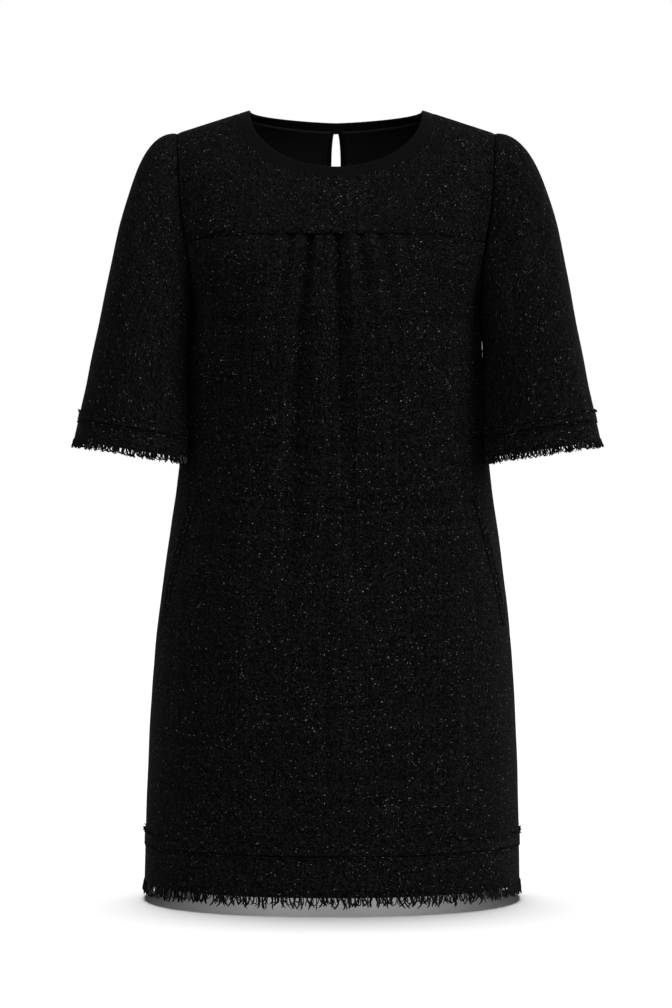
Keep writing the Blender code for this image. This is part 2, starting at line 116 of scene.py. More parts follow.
KEYHOLE_DROP, KEYHOLE_HALF_W, KEYHOLE_HALF_H, KEYHOLE_BINDING = 0.056, 0.0051, 0.042, 0.0058
CUFF_MIDDLE = np.array([0.2300, -0.0570, -0.3805])
CUFF_HALF_W, CUFF_HALF_D, CUFF_TILT = 0.0615, 0.0550, math.radians(8.9)
CUFF_BAND, CUFF_TRIM, CUFF_FRINGE = 0.022, 0.012, 0.010
CLOSER = {"left": 0.0, "right": 0.0055}  # how much closer each sleeve's outer side hangs
SWAY, SWAY_TOP = 0.0045, 0.240  # how far the skirt hangs to the wearer's right, and where that starts
print(f"yoke seam {YOKE_DROP:.3f} m down, hem {HEM_DROP:.3f} m, fringe to {FRINGE_DROP:.3f} m")

# %% [markdown]
# ## Curves for cloth
# Cloth turns corners softly. Three small curves do nearly all the shaping: a smooth step, a cubic that
# leaves and arrives in set directions, and the superellipse, which is rounder or squarer with its power.

# %% Small curves
def ease(t):
    """0 up to t = 0, 1 from t = 1, and 3t^2 - 2t^3 between."""
    t = np.clip(t, 0, 1)
    return t * t * (3 - 2 * t)


def unit(vectors):
    """The same directions at length 1."""
    return vectors / np.maximum(np.linalg.norm(vectors, axis=-1, keepdims=True), 1e-12)


def hermite(start, leaving, end, arriving, t):
    """The cubic from start to end whose first slope is leaving and whose last is arriving."""
    return (
        (1 + 2 * t) * (1 - t) ** 2 * start
        + t * (1 - t) ** 2 * leaving
        + t * t * (3 - 2 * t) * end
        + t * t * (t - 1) * arriving
    )


def round_point(angle, power):
    """Sine and cosine of the angle, each over (|sin|^power + |cos|^power)^(1/power)."""
    across, along = np.sin(angle), np.cos(angle)
    reach = (np.abs(across) ** power + np.abs(along) ** power) ** (1 / power)
    return across / reach, along / reach


# %% [markdown]
# ## The body's form
# Below the yoke, the dress is a tube whose level sections are superellipses. A grid point is an angle
# round the section and a drop, so the panels, the hem and its trims all come from one function.

# %% Body
def body_point(angle, drop, face):
    """half width * across, depth * along, -drop, with the sizes on a cubic through the sections."""
    angle, drop = np.broadcast_arrays(np.asarray(angle, float), np.asarray(drop, float))
    knots, values = SECTIONS[:, 0], SECTIONS[:, 1:]
    slopes = np.gradient(values, knots, axis=0)
    i = np.clip(np.searchsorted(knots, drop) - 1, 0, len(knots) - 2)
    span = (knots[i + 1] - knots[i])[..., None]
    t = (drop[..., None] - knots[i][..., None]) / span
    sizes = hermite(values[i], span * slopes[i], values[i + 1], span * slopes[i + 1], t)
    half_w, front, back, power = np.moveaxis(sizes, -1, 0)
    across, along = round_point(angle, power)
    depth = np.where(np.asarray(face) == "front", -front, back)
    return np.stack([half_w * across, depth * along, -drop], axis=-1)


def armhole_angle(drop, face):
    """From the armhole's angle at the yoke seam to a quarter turn at the underarm, as a quarter ellipse."""
    start = math.radians(ARMHOLE_ANGLE[face])
    down = np.clip((drop - YOKE_DROP) / (UNDERARM_DROP - YOKE_DROP), 0, 1)
    return start + (math.pi / 2 - start) * (1 - np.sqrt(1 - down**2))


def seam_fall(share, drop):
    """The yoke seam's arch: 6.6 mm * share^2.5, from the centre (0) to the armhole (1), fading below."""
    return 6.6 * MM * np.abs(share) ** 2.5 * (1 - ease((drop - YOKE_DROP) / 0.120))


def swayed(points):
    """The points moved to the wearer's right by SWAY * t^0.7, t from SWAY_TOP down to the fringe's ends."""
    down = np.clip((-points[..., 2:] - SWAY_TOP) / (FRINGE_DROP - SWAY_TOP), 0, 1)
    return points - SWAY * down**0.7 * np.array([1, 0, 0])


# %% [markdown]
# ## The yoke's form
# A yoke hangs from the neck edge and the shoulder seam. Each column of its grid is one cubic. It starts in
# line with the neck binding, or level over the shoulder, and it ends in line with the panel below.

# %% Neck edge and yoke
def neck_edge(edge, angle):
    """Half width * across; the depth is centre depth * along^power; the drop runs with along."""
    half_w, centre_drop, centre_depth, power, depth_power = NECK_EDGES[edge]
    across, along = round_point(angle, power)
    side_drop = (half_w - NECK_POINT) * SHOULDER_FALL
    drop = side_drop + (centre_drop - side_drop) * along
    return np.stack([half_w * across, centre_depth * np.clip(along, 0, 1) ** depth_power, -drop], axis=-1)


def yoke_point(across, down, face):
    """A cubic down each column from the top edge to the yoke seam, both shares going from 0 to 1."""
    across, down = np.broadcast_arrays(np.asarray(across, float), np.asarray(down, float))
    forward = -1.0 if face == "front" else 1.0
    on_neck = np.clip(across / NECK_SHARE, 0, 1) * math.pi / 2
    on_shoulder = np.clip((across - NECK_SHARE) / (1 - NECK_SHARE), 0, 1)
    at_neck = (across < NECK_SHARE)[..., None]
    edge = neck_edge(f"{face}_seam", on_neck)
    along_neck = neck_edge(f"{face}_seam", on_neck + 0.01) - neck_edge(f"{face}_seam", on_neck - 0.01)
    neck_normal = np.cross(edge - neck_edge(f"{face}_finished", on_neck), along_neck)
    normal = unit(np.where(at_neck, neck_normal, np.array([SHOULDER_FALL, 0, 1])))
    seam_out = NECK_EDGES["front_seam"][0]
    out = seam_out + (SHOULDER_POINT - seam_out) * on_shoulder
    shoulder = np.stack([out, 0 * out, -(out - NECK_POINT) * SHOULDER_FALL], axis=-1)
    top = np.where(at_neck, edge, shoulder)
    sideways = 0.6 * np.where(across < NECK_SHARE, np.sin(on_neck), 1 - on_shoulder) ** 2
    leaving = np.stack([sideways, forward + 0 * sideways, -1.2 * np.cos(on_neck)], axis=-1)
    leaving = unit(leaving - np.sum(leaving * normal, axis=-1, keepdims=True) * normal)
    angle = across * math.radians(ARMHOLE_ANGLE[face])
    seam_drop = YOKE_DROP + seam_fall(across, YOKE_DROP)
    low = body_point(angle, seam_drop, face)
    arriving = unit(body_point(angle, seam_drop + 0.02, face) - low)
    length = np.linalg.norm(low - top, axis=-1, keepdims=True)
    return hermite(top, leaving * length, low, arriving * length * 0.9, down[..., None])


# %% [markdown]
# ## The sleeve's form
# A sleeve is a ring of cubics, each from its own point of the armhole down to the cuff's edge, which is an
# ellipse tilted outwards. Turn 0 is the shoulder point, a quarter turn the front and a half the underarm.
# Below the underarm, the side that faces the body hangs close beside it.

# %% Sleeve
def armhole(turns):
    """Points along the armhole at even lengths, front half then back half."""
    found = []
    for face in ("front", "back"):
        drops = YOKE_DROP + (UNDERARM_DROP - YOKE_DROP) * np.sin(np.linspace(0, math.pi / 2, 60)[1:])
        half = np.concatenate([
            yoke_point(1.0, np.linspace(0, 1, 60), face),
            body_point(armhole_angle(drops, face), drops + seam_fall(1.0, drops), face),
        ])
        run = np.concatenate([[0], np.cumsum(np.linalg.norm(np.diff(half, axis=0), axis=1))])
        at = run[-1] * 2 * np.where(turns <= 0.5, turns, 1 - turns)
        found.append(np.stack([np.interp(at, run, half[:, k]) for k in range(3)], axis=-1))
    return np.where((turns <= 0.5)[:, None], *found)


NEARER, NEARER_REACH, SIDE_GAP = 7 * MM, 24 * MM, 1.1 * MM


def beside_body(points, side):
    """Left sleeve points moved towards the body by up to NEARER * (1 - ease((gap - 6 mm) / reach)), fading
    in at the underarm, and kept SIDE_GAP off."""
    forward, drop = points[..., 1], -points[..., 2]
    half_w = body_point(math.pi / 2, drop, "front")[..., 0]
    depth = np.abs(body_point(0.0, drop, np.where(forward < 0, "front", "back"))[..., 1])
    power = np.interp(drop, SECTIONS[:, 0], SECTIONS[:, 4])
    body_side = half_w * (1 - np.clip(np.abs(forward) / depth, 0, 1) ** power) ** (1 / power)
    sway = swayed(points)[..., 0] - points[..., 0]
    gap = points[..., 0] - body_side + (sway if side == "right" else -sway)
    wanted = NEARER * (1 - ease((gap - 6 * MM) / NEARER_REACH)) * ease((drop - UNDERARM_DROP + 0.016) / 0.028)
    moved = np.minimum(wanted, np.maximum(gap - SIDE_GAP, 0))
    return points - moved[..., None] * np.array([1, 0, 0])


def sleeve_grid(turns, heights=None, shares=None, side="left"):
    """Left sleeve: a column for each turn, and a row for each height above the cuff's edge or each share
    of the way down from the armhole to the cuff's band. Heights below 0 run on past the edge, and the
    outer side of the arm comes in by CLOSER."""
    top, front = np.cos(2 * math.pi * turns)[:, None], np.sin(2 * math.pi * turns)[:, None]
    across, forward, up = np.eye(3)
    ahead = 0.42 * front + 0.20 * (1 - top)
    leaving = unit(across * (0.62 + 0.38 * top) - forward * ahead + up * (0.50 * top - 0.44))
    outwards = across * math.cos(CUFF_TILT) + up * math.sin(CUFF_TILT)
    start = armhole(turns) + leaving * SEAM_GAP
    end = CUFF_MIDDLE + CUFF_HALF_W * top * outwards - CUFF_HALF_D * front * forward
    arriving = unit(across * (0.125 + 0.095 * top) - forward * 0.14 - up)
    t = np.linspace(0, 1, 161)[:, None, None]
    dense = hermite(start, leaving * (0.18 + 0.03 * top), end, arriving * (0.36 + 0.12 * top), t)
    dense -= CLOSER[side] * (1 + top) / 2 * ease(t / 0.45) * (1 - 0.5 * ease((t - 0.5) / 0.5)) * across
    run = np.cumsum(np.linalg.norm(np.diff(dense, axis=0, prepend=dense[:1]), axis=-1), axis=0)
    if heights is None:
        at = np.asarray(shares)[:, None] * (run[-1] - CUFF_BAND)
    else:
        at = run[-1] - np.asarray(heights)[:, None] + 0 * run[-1]
    grid = np.empty(at.shape + (3,))
    for j in range(len(turns)):
        for k in range(3):
            grid[:, j, k] = np.interp(at[:, j], run[:, j], dense[:, j, k])
    return beside_body(grid + np.maximum(at - run[-1], 0)[..., None] * arriving, side)


def other_side(points):
    """The same grid on the wearer's right, its columns in the other order so that it still faces out."""
    return (points * MIRROR)[:, ::-1]


# %% [markdown]
# ## Folds
# Cloth never hangs quite smooth. The front's gathers leave the yoke seam as soft troughs that widen and
# fade, two of them long. A fold is a row in a table: where it starts and ends, its place across at the
# top, the place that bends it on its way and its place at the bottom, then its depth and half widths. The
# back has shallower ones.

# %% Fold tables
FRONT_FOLDS = [
    # top    bottom  x_top    x_pull   x_low    depth   w_top  w_low
    (0.148, 0.560, -0.0290, -0.0490, -0.0510, 0.0150, 0.0050, 0.014),
    (0.148, 0.530, 0.0030, 0.0020, 0.0180, 0.0155, 0.0050, 0.014),
    (0.148, 0.260, -0.0490, -0.0600, -0.0680, 0.0095, 0.0042, 0.011),
    (0.148, 0.225, -0.0130, -0.0150, -0.0180, 0.0070, 0.0036, 0.007),
    (0.148, 0.300, 0.0270, 0.0330, 0.0400, 0.0085, 0.0042, 0.011),
    (0.148, 0.280, 0.0500, 0.0570, 0.0640, 0.0070, 0.0042, 0.012),
    (0.148, 0.185, -0.0700, -0.0720, -0.0740, 0.0040, 0.0040, 0.007),
    (0.148, 0.190, 0.0740, 0.0770, 0.0800, 0.0038, 0.0040, 0.007),
    (0.230, 0.500, -0.1120, -0.1330, -0.1500, 0.0050, 0.0160, 0.018),
    (0.230, 0.480, 0.1150, 0.1330, 0.1480, 0.0034, 0.0160, 0.018),
    (0.420, 0.800, -0.0700, -0.0850, -0.0950, 0.0018, 0.0200, 0.030),
    (0.430, 0.800, 0.0650, 0.0700, 0.0850, 0.0022, 0.0200, 0.030),
]
BACK_FOLDS = [
    (0.150, 0.420, -0.0250, -0.0300, -0.0420, 0.0022, 0.0140, 0.026),
    (0.160, 0.450, 0.0340, 0.0420, 0.0500, 0.0025, 0.0140, 0.026),
    (0.220, 0.520, -0.1050, -0.0900, -0.0800, 0.0036, 0.0180, 0.028),
    (0.225, 0.500, 0.1070, 0.0950, 0.0780, 0.0030, 0.0180, 0.028),
    (0.400, 0.800, -0.0500, -0.0600, -0.0750, 0.0022, 0.0240, 0.034),
    (0.380, 0.800, 0.0450, 0.0520, 0.0700, 0.0020, 0.0240, 0.034),
]
PUFF, PUFF_RUN, PUFF_HALF_W = 2.4 * MM, 0.014, 0.090
SEAM_GROOVE, GROOVE_HALF_W = 1.7 * MM, 2.2 * MM


def fold_depth(points, folds, puff=0.0):
    """The sum over the folds of depth * (1 - t)^0.8 * exp(-(offset / width)^2), less the puff at the seam."""
    across, drop = points[..., 0], -points[..., 2]
    pressed = -puff * ease((drop - YOKE_DROP) / PUFF_RUN) * np.exp(-((across / PUFF_HALF_W) ** 4))
    pressed = pressed * (1 - ease((drop - YOKE_DROP) / 0.3))
    for top, bottom, x_top, x_pull, x_low, depth, w_top, w_low in folds:
        t = np.clip((drop - top) / (bottom - top), 0, 1)
        middle = (1 - t) ** 2 * x_top + 2 * t * (1 - t) * x_pull + t * t * x_low
        width = w_top + (w_low - w_top) * np.sqrt(t)
        shape = ease((drop - top + 0.004) / (0.022 if top > YOKE_DROP + 0.001 else 0.012)) * (1 - t) ** 0.8
        pressed = pressed + depth * shape * np.exp(-(((across - middle) / width) ** 2))
    return pressed


def groove(distance):
    """How far cloth turns in at a seam: depth * exp(-(distance / half width)^2)."""
    return SEAM_GROOVE * np.exp(-((distance / GROOVE_HALF_W) ** 2))


def slack(points, size, seed):
    """Very shallow unevenness: three sine waves of the place, 6 to 10 cm long."""
    x, y, z = np.moveaxis(points, -1, 0)
    waves = np.sin(61 * x + 27 * z + seed) + np.sin(-38 * x + 49 * y + 71 * z + 2 * seed)
    return size * (waves + np.sin(90 * y + 33 * z + 3 * seed)) / 3


print("folds:", len(FRONT_FOLDS), "in front,", len(BACK_FOLDS), "behind")

# %% [markdown]
# ## From a grid to a piece of cloth
# One helper turns a grid of points into a named piece. It writes a UV map in metres along the cloth, so
# that the weave keeps its real size on every piece, and Solidify gives the sheet its thickness.

# %% Meshes from grids
def grid_normals(points, closed):
    """Cross product of the differences down the rows and along the columns, at length 1."""
    if closed:
        along = np.roll(points, -1, axis=1) - np.roll(points, 1, axis=1)
    else:
        along = np.gradient(points, axis=1)
    return unit(np.cross(np.gradient(points, axis=0), along))


def grid_faces(rows, columns, closed):
    """Corner numbers of each square of a grid, with the last column joined to the first if closed."""
    i = np.arange(rows - 1)[:, None] * columns
    j = np.arange(columns if closed else columns - 1)[None, :]
    k = (j + 1) % columns
    return np.stack([i + j, i + columns + j, i + columns + k, i + k], axis=-1).reshape(-1, 4)


def joined(points):
    """The grid with its first column again after its last."""
    return np.concatenate([points, points[:, :1]], axis=1)


def cloth_uv(points, closed):
    """Metres along the cloth: u along each row from its middle, v down each column."""
    ring = joined(points) if closed else points
    u = np.cumsum(np.linalg.norm(np.diff(ring, axis=1, prepend=ring[:, :1]), axis=-1), axis=1)
    v = np.cumsum(np.linalg.norm(np.diff(ring, axis=0, prepend=ring[:1]), axis=-1), axis=0)
    return np.stack([u - u[:, -1:] / 2, v], axis=-1)


def mesh_piece(name, vertices, faces, material, uv=None, tone=None):
    """A smooth mesh object that rides on the body, with an optional UV for each face corner and a tone
    for each vertex."""
    mesh = bpy.data.meshes.new(name)
    mesh.from_pydata(vertices.reshape(-1, 3), [], faces)
    if uv is not None:
        layer = mesh.uv_layers.new(name="weave")
        layer.data.foreach_set("uv", uv.reshape(-1).astype(np.float32))
    if tone is not None:
        mesh.attributes.new("tone", "FLOAT", "POINT").data.foreach_set("value", tone.astype(np.float32))
    mesh.materials.append(material)
    mesh.shade_smooth()
    piece = bpy.data.objects.new(name, mesh)
    bpy.context.collection.objects.link(piece)
    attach(piece, "root")
    return piece


def cloth(name, points, material, thickness, closed=False, rim=True):
    """A sheet through the grid, thickened inwards by Solidify."""
    rows, columns = points.shape[:2]
    faces = grid_faces(rows, columns, closed)
    uv = cloth_uv(points, closed)
    wide = uv.shape[1]
    i, j = faces[:, 0] // columns, faces[:, 0] % columns
    corners = np.stack([uv[i, j], uv[i + 1, j], uv[i + 1, (j + 1) % wide], uv[i, (j + 1) % wide]], axis=1)
    piece = mesh_piece(name, points, faces, material, uv=corners)
    shell = piece.modifiers.new("cloth", "SOLIDIFY")
    shell.thickness = thickness
    shell.offset = -1
    shell.use_rim = rim
    print(f"{name}: {4 * len(faces)} triangles, {uv[..., 0].max() - uv[..., 0].min():.3f} m wide")
    return piece


LEAST_CUT = 0.0105  # the least that a cut's width or length is rounded up to


def declare(piece, points, held, closed=False, take_up=1.0, **more):
    """Works out a sheet's widest row by its longest column, each at least LEAST_CUT; nothing is done with
    them.
    """
    ring = joined(points) if closed else points
    width = float(np.linalg.norm(np.diff(ring, axis=1), axis=-1).sum(axis=1).max()) * take_up
    length = float(np.linalg.norm(np.diff(ring, axis=0), axis=-1).sum(axis=0).max())
    width, length = max(round(width, 4), LEAST_CUT), max(round(length, 4), LEAST_CUT)


# %% [markdown]
# ## The tweed
# Looped tweed is a plain basket of warp and weft, each yarn a little different in black, fuzzy with
# loops, and with pale metallic flecks where a fine lurex yarn comes up. One shader group makes the weave
# for every piece: it wobbles the cloth's own UV, finds the warp and weft yarn, lets one go over the
# other like a chessboard, and gives each its own tone, darkened where the yarns lie low as painted
# shade. It puts out a colour and a height.

# %% Node helpers
def add(tree, kind, links=(), **settings):
    """A node with its properties, its input values and its incoming links set in one go."""
    node = tree.nodes.new(kind)
    for key, value in settings.items():
        if key.startswith("in_"):
            index = key[3:]
            node.inputs[int(index) if index.isdigit() else index.replace("_", " ")].default_value = value
        else:
            setattr(node, key, value)
    for socket, source in dict(links).items():
        tree.links.new(source, node.inputs[socket])
    return node


def maths(tree, operation, first, second=None, third=None):
    """One Math node; each operand is a socket or a number."""
    node = tree.nodes.new("ShaderNodeMath")
    node.operation = operation
    for index, value in enumerate((first, second, third)):
        if isinstance(value, (int, float)):
            node.inputs[index].default_value = value
        elif value is not None:
            tree.links.new(value, node.inputs[index])
    return node.outputs[0]


def new_group(name, inputs, outputs):
    """An empty shader group with named sockets, and its two ends."""
    tree = bpy.data.node_groups.new(name, "ShaderNodeTree")
    for label, kind, value in inputs:
        socket = tree.interface.new_socket(label, in_out="INPUT", socket_type=kind)
        if value is not None:
            socket.default_value = value
    for label, kind in outputs:
        tree.interface.new_socket(label, in_out="OUTPUT", socket_type=kind)
    return tree, tree.nodes.new("NodeGroupInput"), tree.nodes.new("NodeGroupOutput")


# %% The weave group
def build_weave():
    """Warp and weft numbers are the whole parts of u and v over the yarn's pitch; height is the sine of
    the part left over, of whichever yarn is on top; tone is a random number of that yarn, darkened
    where the height is low as painted shade in the weave's hollows."""
    inputs = [
        ("Vector", "NodeSocketVector", None),
        ("Pitch", "NodeSocketFloat", 0.0019),
        ("Dark", "NodeSocketColor", (0.0005, 0.0005, 0.0005, 1)),
        ("Light", "NodeSocketColor", (0.0205, 0.0205, 0.0205, 1)),
        ("Fleck", "NodeSocketColor", (0.32, 0.32, 0.32, 1)),
        ("Fleck share", "NodeSocketFloat", 0.006),
    ]
    outputs = [("Color", "NodeSocketColor"), ("Height", "NodeSocketFloat")]
    tree, start, end = new_group("looped weave", inputs, outputs)
    given, calc = start.outputs, partial(maths, tree)

    def noise(place, **settings):
        return add(tree, "ShaderNodeTexNoise", {"Vector": place}, noise_dimensions="2D", **settings).outputs

    def chance(socket, place, dimensions):
        return add(tree, "ShaderNodeTexWhiteNoise", {socket: place}, noise_dimensions=dimensions).outputs[0]

    def vector(operation, links, **settings):
        return add(tree, "ShaderNodeVectorMath", links, operation=operation, **settings).outputs[0]

    def mix(factor, first, second, kind="FLOAT"):
        node = add(tree, "ShaderNodeMix", {"Factor": factor, "A": first, "B": second}, data_type=kind)
        return node.outputs[2 if kind == "RGBA" else 0]

    def hump(yarns):
        return calc("SINE", calc("MULTIPLY", calc("FRACT", yarns), math.pi))

    wobble = noise(given["Vector"], in_Scale=230.0, in_Detail=2.0)["Color"]
    push = vector("SCALE", {0: vector("SUBTRACT", {0: wobble}, in_1=(0.5, 0.5, 0.5))}, in_Scale=0.0034)
    moved = vector("ADD", {0: given["Vector"], 1: push})
    place = add(tree, "ShaderNodeSeparateXYZ", {0: moved}).outputs
    warp, weft = (calc("DIVIDE", place[axis], given["Pitch"]) for axis in (0, 1))
    warp_id, weft_id = calc("FLOOR", warp), calc("FLOOR", weft)
    over = calc("FLOORED_MODULO", calc("ADD", warp_id, weft_id), 2.0)
    low, high = mix(over, hump(warp), hump(weft)), mix(over, hump(weft), hump(warp))
    yarn = calc("MULTIPLY", calc("SQRT", low), calc("MULTIPLY_ADD", high, 0.5, 0.5))
    fuzz = noise(moved, in_Scale=900.0, in_Detail=4.0, in_Roughness=0.65)[0]
    height = calc("MULTIPLY_ADD", fuzz, 1.1, calc("MULTIPLY", yarn, 0.75))

    yarn_tone = chance("W", mix(over, warp_id, calc("ADD", weft_id, 517.0)), "1D")
    cell = add(tree, "ShaderNodeCombineXYZ", {0: warp_id, 1: weft_id}).outputs[0]
    cell_tone = chance("Vector", cell, "2D")
    blot = noise(given["Vector"], in_Scale=640.0, in_Detail=3.0, in_Roughness=0.7)[0]
    tone = calc("MULTIPLY_ADD", yarn_tone, 0.25, calc("MULTIPLY", cell_tone, 0.60))
    tone = calc("ADD", tone, calc("MULTIPLY_ADD", blot, 1.4, -0.62))
    tone = calc("POWER", calc("MAXIMUM", tone, 0.0), 1.9)
    # painted shade: the tone is darkened where the weave's height is low, in the hollows between the yarns
    tone = calc("MULTIPLY", tone, calc("MULTIPLY_ADD", height, 0.6, 0.15))
    cloth_colour = mix(calc("MINIMUM", tone, 1.0), given["Dark"], given["Light"], "RGBA")

    fine = vector("FLOOR", {0: vector("MULTIPLY", {0: moved}, in_1=(1250.0, 1900.0, 1.0))})
    patch = noise(given["Vector"], in_Scale=26.0)[0]
    share = calc("MULTIPLY", given["Fleck share"], calc("MULTIPLY", patch, 2.0))
    fleck = calc("LESS_THAN", chance("Vector", fine, "2D"), share)
    bright = calc("MULTIPLY", fleck, calc("MULTIPLY_ADD", cell_tone, 0.85, 0.15))
    tree.links.new(mix(bright, cloth_colour, given["Fleck"], "RGBA"), end.inputs["Color"])
    tree.links.new(height, end.inputs["Height"])
    return tree


weave = build_weave()
print("weave group:", len(weave.nodes), "nodes")

# %% [markdown]
# ## Finishes
# The tweed takes the weave group on its UV. The fringe is the same yarn loose, so its colour comes from a
# tone stored on each yarn. Crepe and lining are smooth with a fine grain, and the lining is the glossier.

# %% Materials
def new_finish(name, roughness, sheen, specular):
    """A Principled material with its plain values on its own sockets."""
    material = bpy.data.materials.new(name)
    material.use_nodes = True
    shader = material.node_tree.nodes["Principled BSDF"]
    shader.inputs["Roughness"].default_value = roughness
    shader.inputs["Sheen Weight"].default_value = sheen
    shader.inputs["Sheen Roughness"].default_value = 0.6
    shader.inputs["Specular IOR Level"].default_value = specular
    return material, material.node_tree, shader


def bump(tree, shader, height, distance, strength=1.0):
    """A Bump node from a height to the shader's normal."""
    node = add(tree, "ShaderNodeBump", {"Height": height}, in_Distance=distance, in_Strength=strength)
    tree.links.new(node.outputs[0], shader.inputs["Normal"])


def tweed_finish():
    """Looped tweed on the cloth's own UV."""
    material, tree, shader = new_finish("black looped tweed", 0.85, 0.004, 0.012)
    uv = add(tree, "ShaderNodeUVMap", uv_map="weave")
    group = add(tree, "ShaderNodeGroup", node_tree=weave)
    tree.links.new(uv.outputs[0], group.inputs["Vector"])
    tree.links.new(group.outputs["Color"], shader.inputs["Base Color"])
    bump(tree, shader, group.outputs["Height"], 0.0011)
    return material


def yarn_finish():
    """Loose yarn: the tone stored on each yarn runs from near black to dark grey, and a few are pale."""
    material, tree, shader = new_finish("loose black yarn", 0.85, 0.005, 0.012)
    tone = add(tree, "ShaderNodeAttribute", attribute_name="tone")
    ramp = add(tree, "ShaderNodeValToRGB", {"Fac": tone.outputs["Fac"]})
    ramp.color_ramp.elements[0].color = (0.0022, 0.0022, 0.0022, 1)
    ramp.color_ramp.elements[1].position = 0.93
    ramp.color_ramp.elements[1].color = (0.0110, 0.0110, 0.0110, 1)
    fleck = ramp.color_ramp.elements.new(0.97)
    fleck.color = (0.07, 0.07, 0.07, 1)
    tree.links.new(ramp.outputs[0], shader.inputs["Base Color"])
    place = add(tree, "ShaderNodeTexCoord")
    twist = add(tree, "ShaderNodeTexNoise", {"Vector": place.outputs["Object"]},
                in_Scale=1400.0, in_Detail=2.0)
    bump(tree, shader, twist.outputs[0], 0.0005)
    return material


def smooth_finish(name, colour, roughness, sheen, specular, grain):
    """A plain close cloth: one colour a little uneven, with a fine grain for its bump."""
    material, tree, shader = new_finish(name, roughness, sheen, specular)
    uv = add(tree, "ShaderNodeUVMap", uv_map="weave")
    noise = add(tree, "ShaderNodeTexNoise", {"Vector": uv.outputs[0]}, noise_dimensions="2D",
                in_Scale=grain, in_Detail=3.0)
    uneven = add(tree, "ShaderNodeMix", {"Factor": noise.outputs[0]}, data_type="RGBA")
    uneven.inputs[6].default_value = (*(0.75 * c for c in colour), 1)
    uneven.inputs[7].default_value = (*(1.25 * c for c in colour), 1)
    tree.links.new(uneven.outputs[2], shader.inputs["Base Color"])
    bump(tree, shader, noise.outputs[0], 0.0002)
    return material


tweed = tweed_finish()
yarn = yarn_finish()
crepe = smooth_finish("black crepe", (0.0033, 0.0033, 0.0033), 0.7, 0.003, 0.012, 1600.0)
lining = smooth_finish("black lining", (0.0050, 0.0050, 0.0050), 0.5, 0.0, 0.03, 900.0)
print("finishes:", tweed.name, yarn.name, crepe.name, lining.name)

# %% [markdown]
# ## The front and back panels
# The front panel is fuller than the yoke, and the extra cloth is gathered in at the seam. Its grid is the
# body's form pressed in by the folds, so the folds are real shape and show from every side.

# %% Body panels
def panel_grid(face, rows, columns):
    """Points of a panel: even drops, closer under the yoke, by shares of the angle the panel reaches."""
    share = np.linspace(0, 1, rows)
    drops = (YOKE_DROP + SEAM_GAP / 2 + (BAND_DROP - YOKE_DROP - SEAM_GAP) * share**1.25)[:, None]
    sides = np.linspace(-1, 1, columns)[None, :]
    reach = armhole_angle(drops, face) - 0.0003
    points = body_point(reach * np.abs(sides), drops + seam_fall(sides, drops), face)
    points[..., 0] *= np.sign(sides)
    points = swayed(points)
    inwards = unit(points * np.array([-1, -1, 0]))
    folds, puff = (FRONT_FOLDS, PUFF) if face == "front" else (BACK_FOLDS, 0.0)
    pressed = fold_depth(points, folds, puff) + slack(points, 0.5 * MM, 1.0 if face == "front" else 2.5)
    pressed *= 1 - 0.85 * ease((-points[..., 2] - 0.74) / 0.06)
    pressed = pressed + groove(drops - YOKE_DROP) * (1 - sides**8)
    points = points + inwards * pressed[..., None]
    return points if face == "front" else points[:, ::-1]


for face in ("front", "back"):
    grid = panel_grid(face, 170, 200 if face == "front" else 150)
    panel = cloth(f"panel_{face}", grid, tweed, TWEED)
    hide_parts(f"body_{face}")
    held, take_up = ("gathered", 1.06) if face == "front" else ("hung", 1.0)
    declare(panel, grid, held, take_up=take_up, rests_on=[f"yoke_{face}"])

# %% [markdown]
# ## The yokes
# Both yokes are plain. The back one is cut round the keyhole, so its grid is made for one half and
# mirrored, and each row starts at the keyhole's edge where there is one.

# %% Yokes and lining
def front_yoke_grid(rows, columns):
    """Even shares across and down the yoke, its middle evened out along the rows by 1-2-1 means."""
    down = np.linspace(0.0015, 0.9985, rows)[:, None]
    across = np.linspace(-1, 1, columns)[None, :] * 0.9992
    points = yoke_point(np.abs(across), down, "front")
    points[..., 0] *= np.sign(across)
    relaxed = points.copy()
    for _ in range(60):
        relaxed[:, 2:-2] = (relaxed[:, :-4] + 2 * relaxed[:, 2:-2] + relaxed[:, 4:]) / 4
    return points + (relaxed - points) * (ease(down / 0.35) * (1 - ease((down - 0.7) / 0.28)))[..., None]


def back_yoke_grid(rows, columns, margin, top):
    """The left half: rows close together round the keyhole, whose edge is an ellipse that cuts them. The
    first row is at the share top, and margin is the distance from the keyhole's binding."""
    beyond = KEYHOLE_BINDING + margin
    bottom_drop = KEYHOLE_DROP + KEYHOLE_HALF_H + beyond
    shares = np.linspace(0, 1, 400)
    bottom = np.interp(bottom_drop, -yoke_point(0.0, shares, "back")[:, 2], shares)
    upper = int(rows * 0.7)
    beside = top + (bottom - top) * np.sin(np.linspace(0, math.pi / 2, upper))
    down = np.concatenate([beside, np.linspace(bottom, 0.9985, rows - upper + 1)[1:]])[:, None]
    drop = -yoke_point(0.0, down, "back")[..., 2]
    height = (drop - KEYHOLE_DROP) / (bottom_drop - KEYHOLE_DROP)
    cut = (KEYHOLE_HALF_W + beyond) * np.sqrt(np.clip(1 - height**2, 0, 1))
    cut[upper - 1:] = 0
    start = 0.1 * cut / yoke_point(0.1, down, "back")[..., 0]
    half = np.linspace(0, 1, columns)[None, :] * 0.9985
    points = yoke_point(half + start * np.clip(1 - half / 0.15, 0, 1), down, "back")
    points[upper - 1:, 0, 0] = 0
    return points, upper


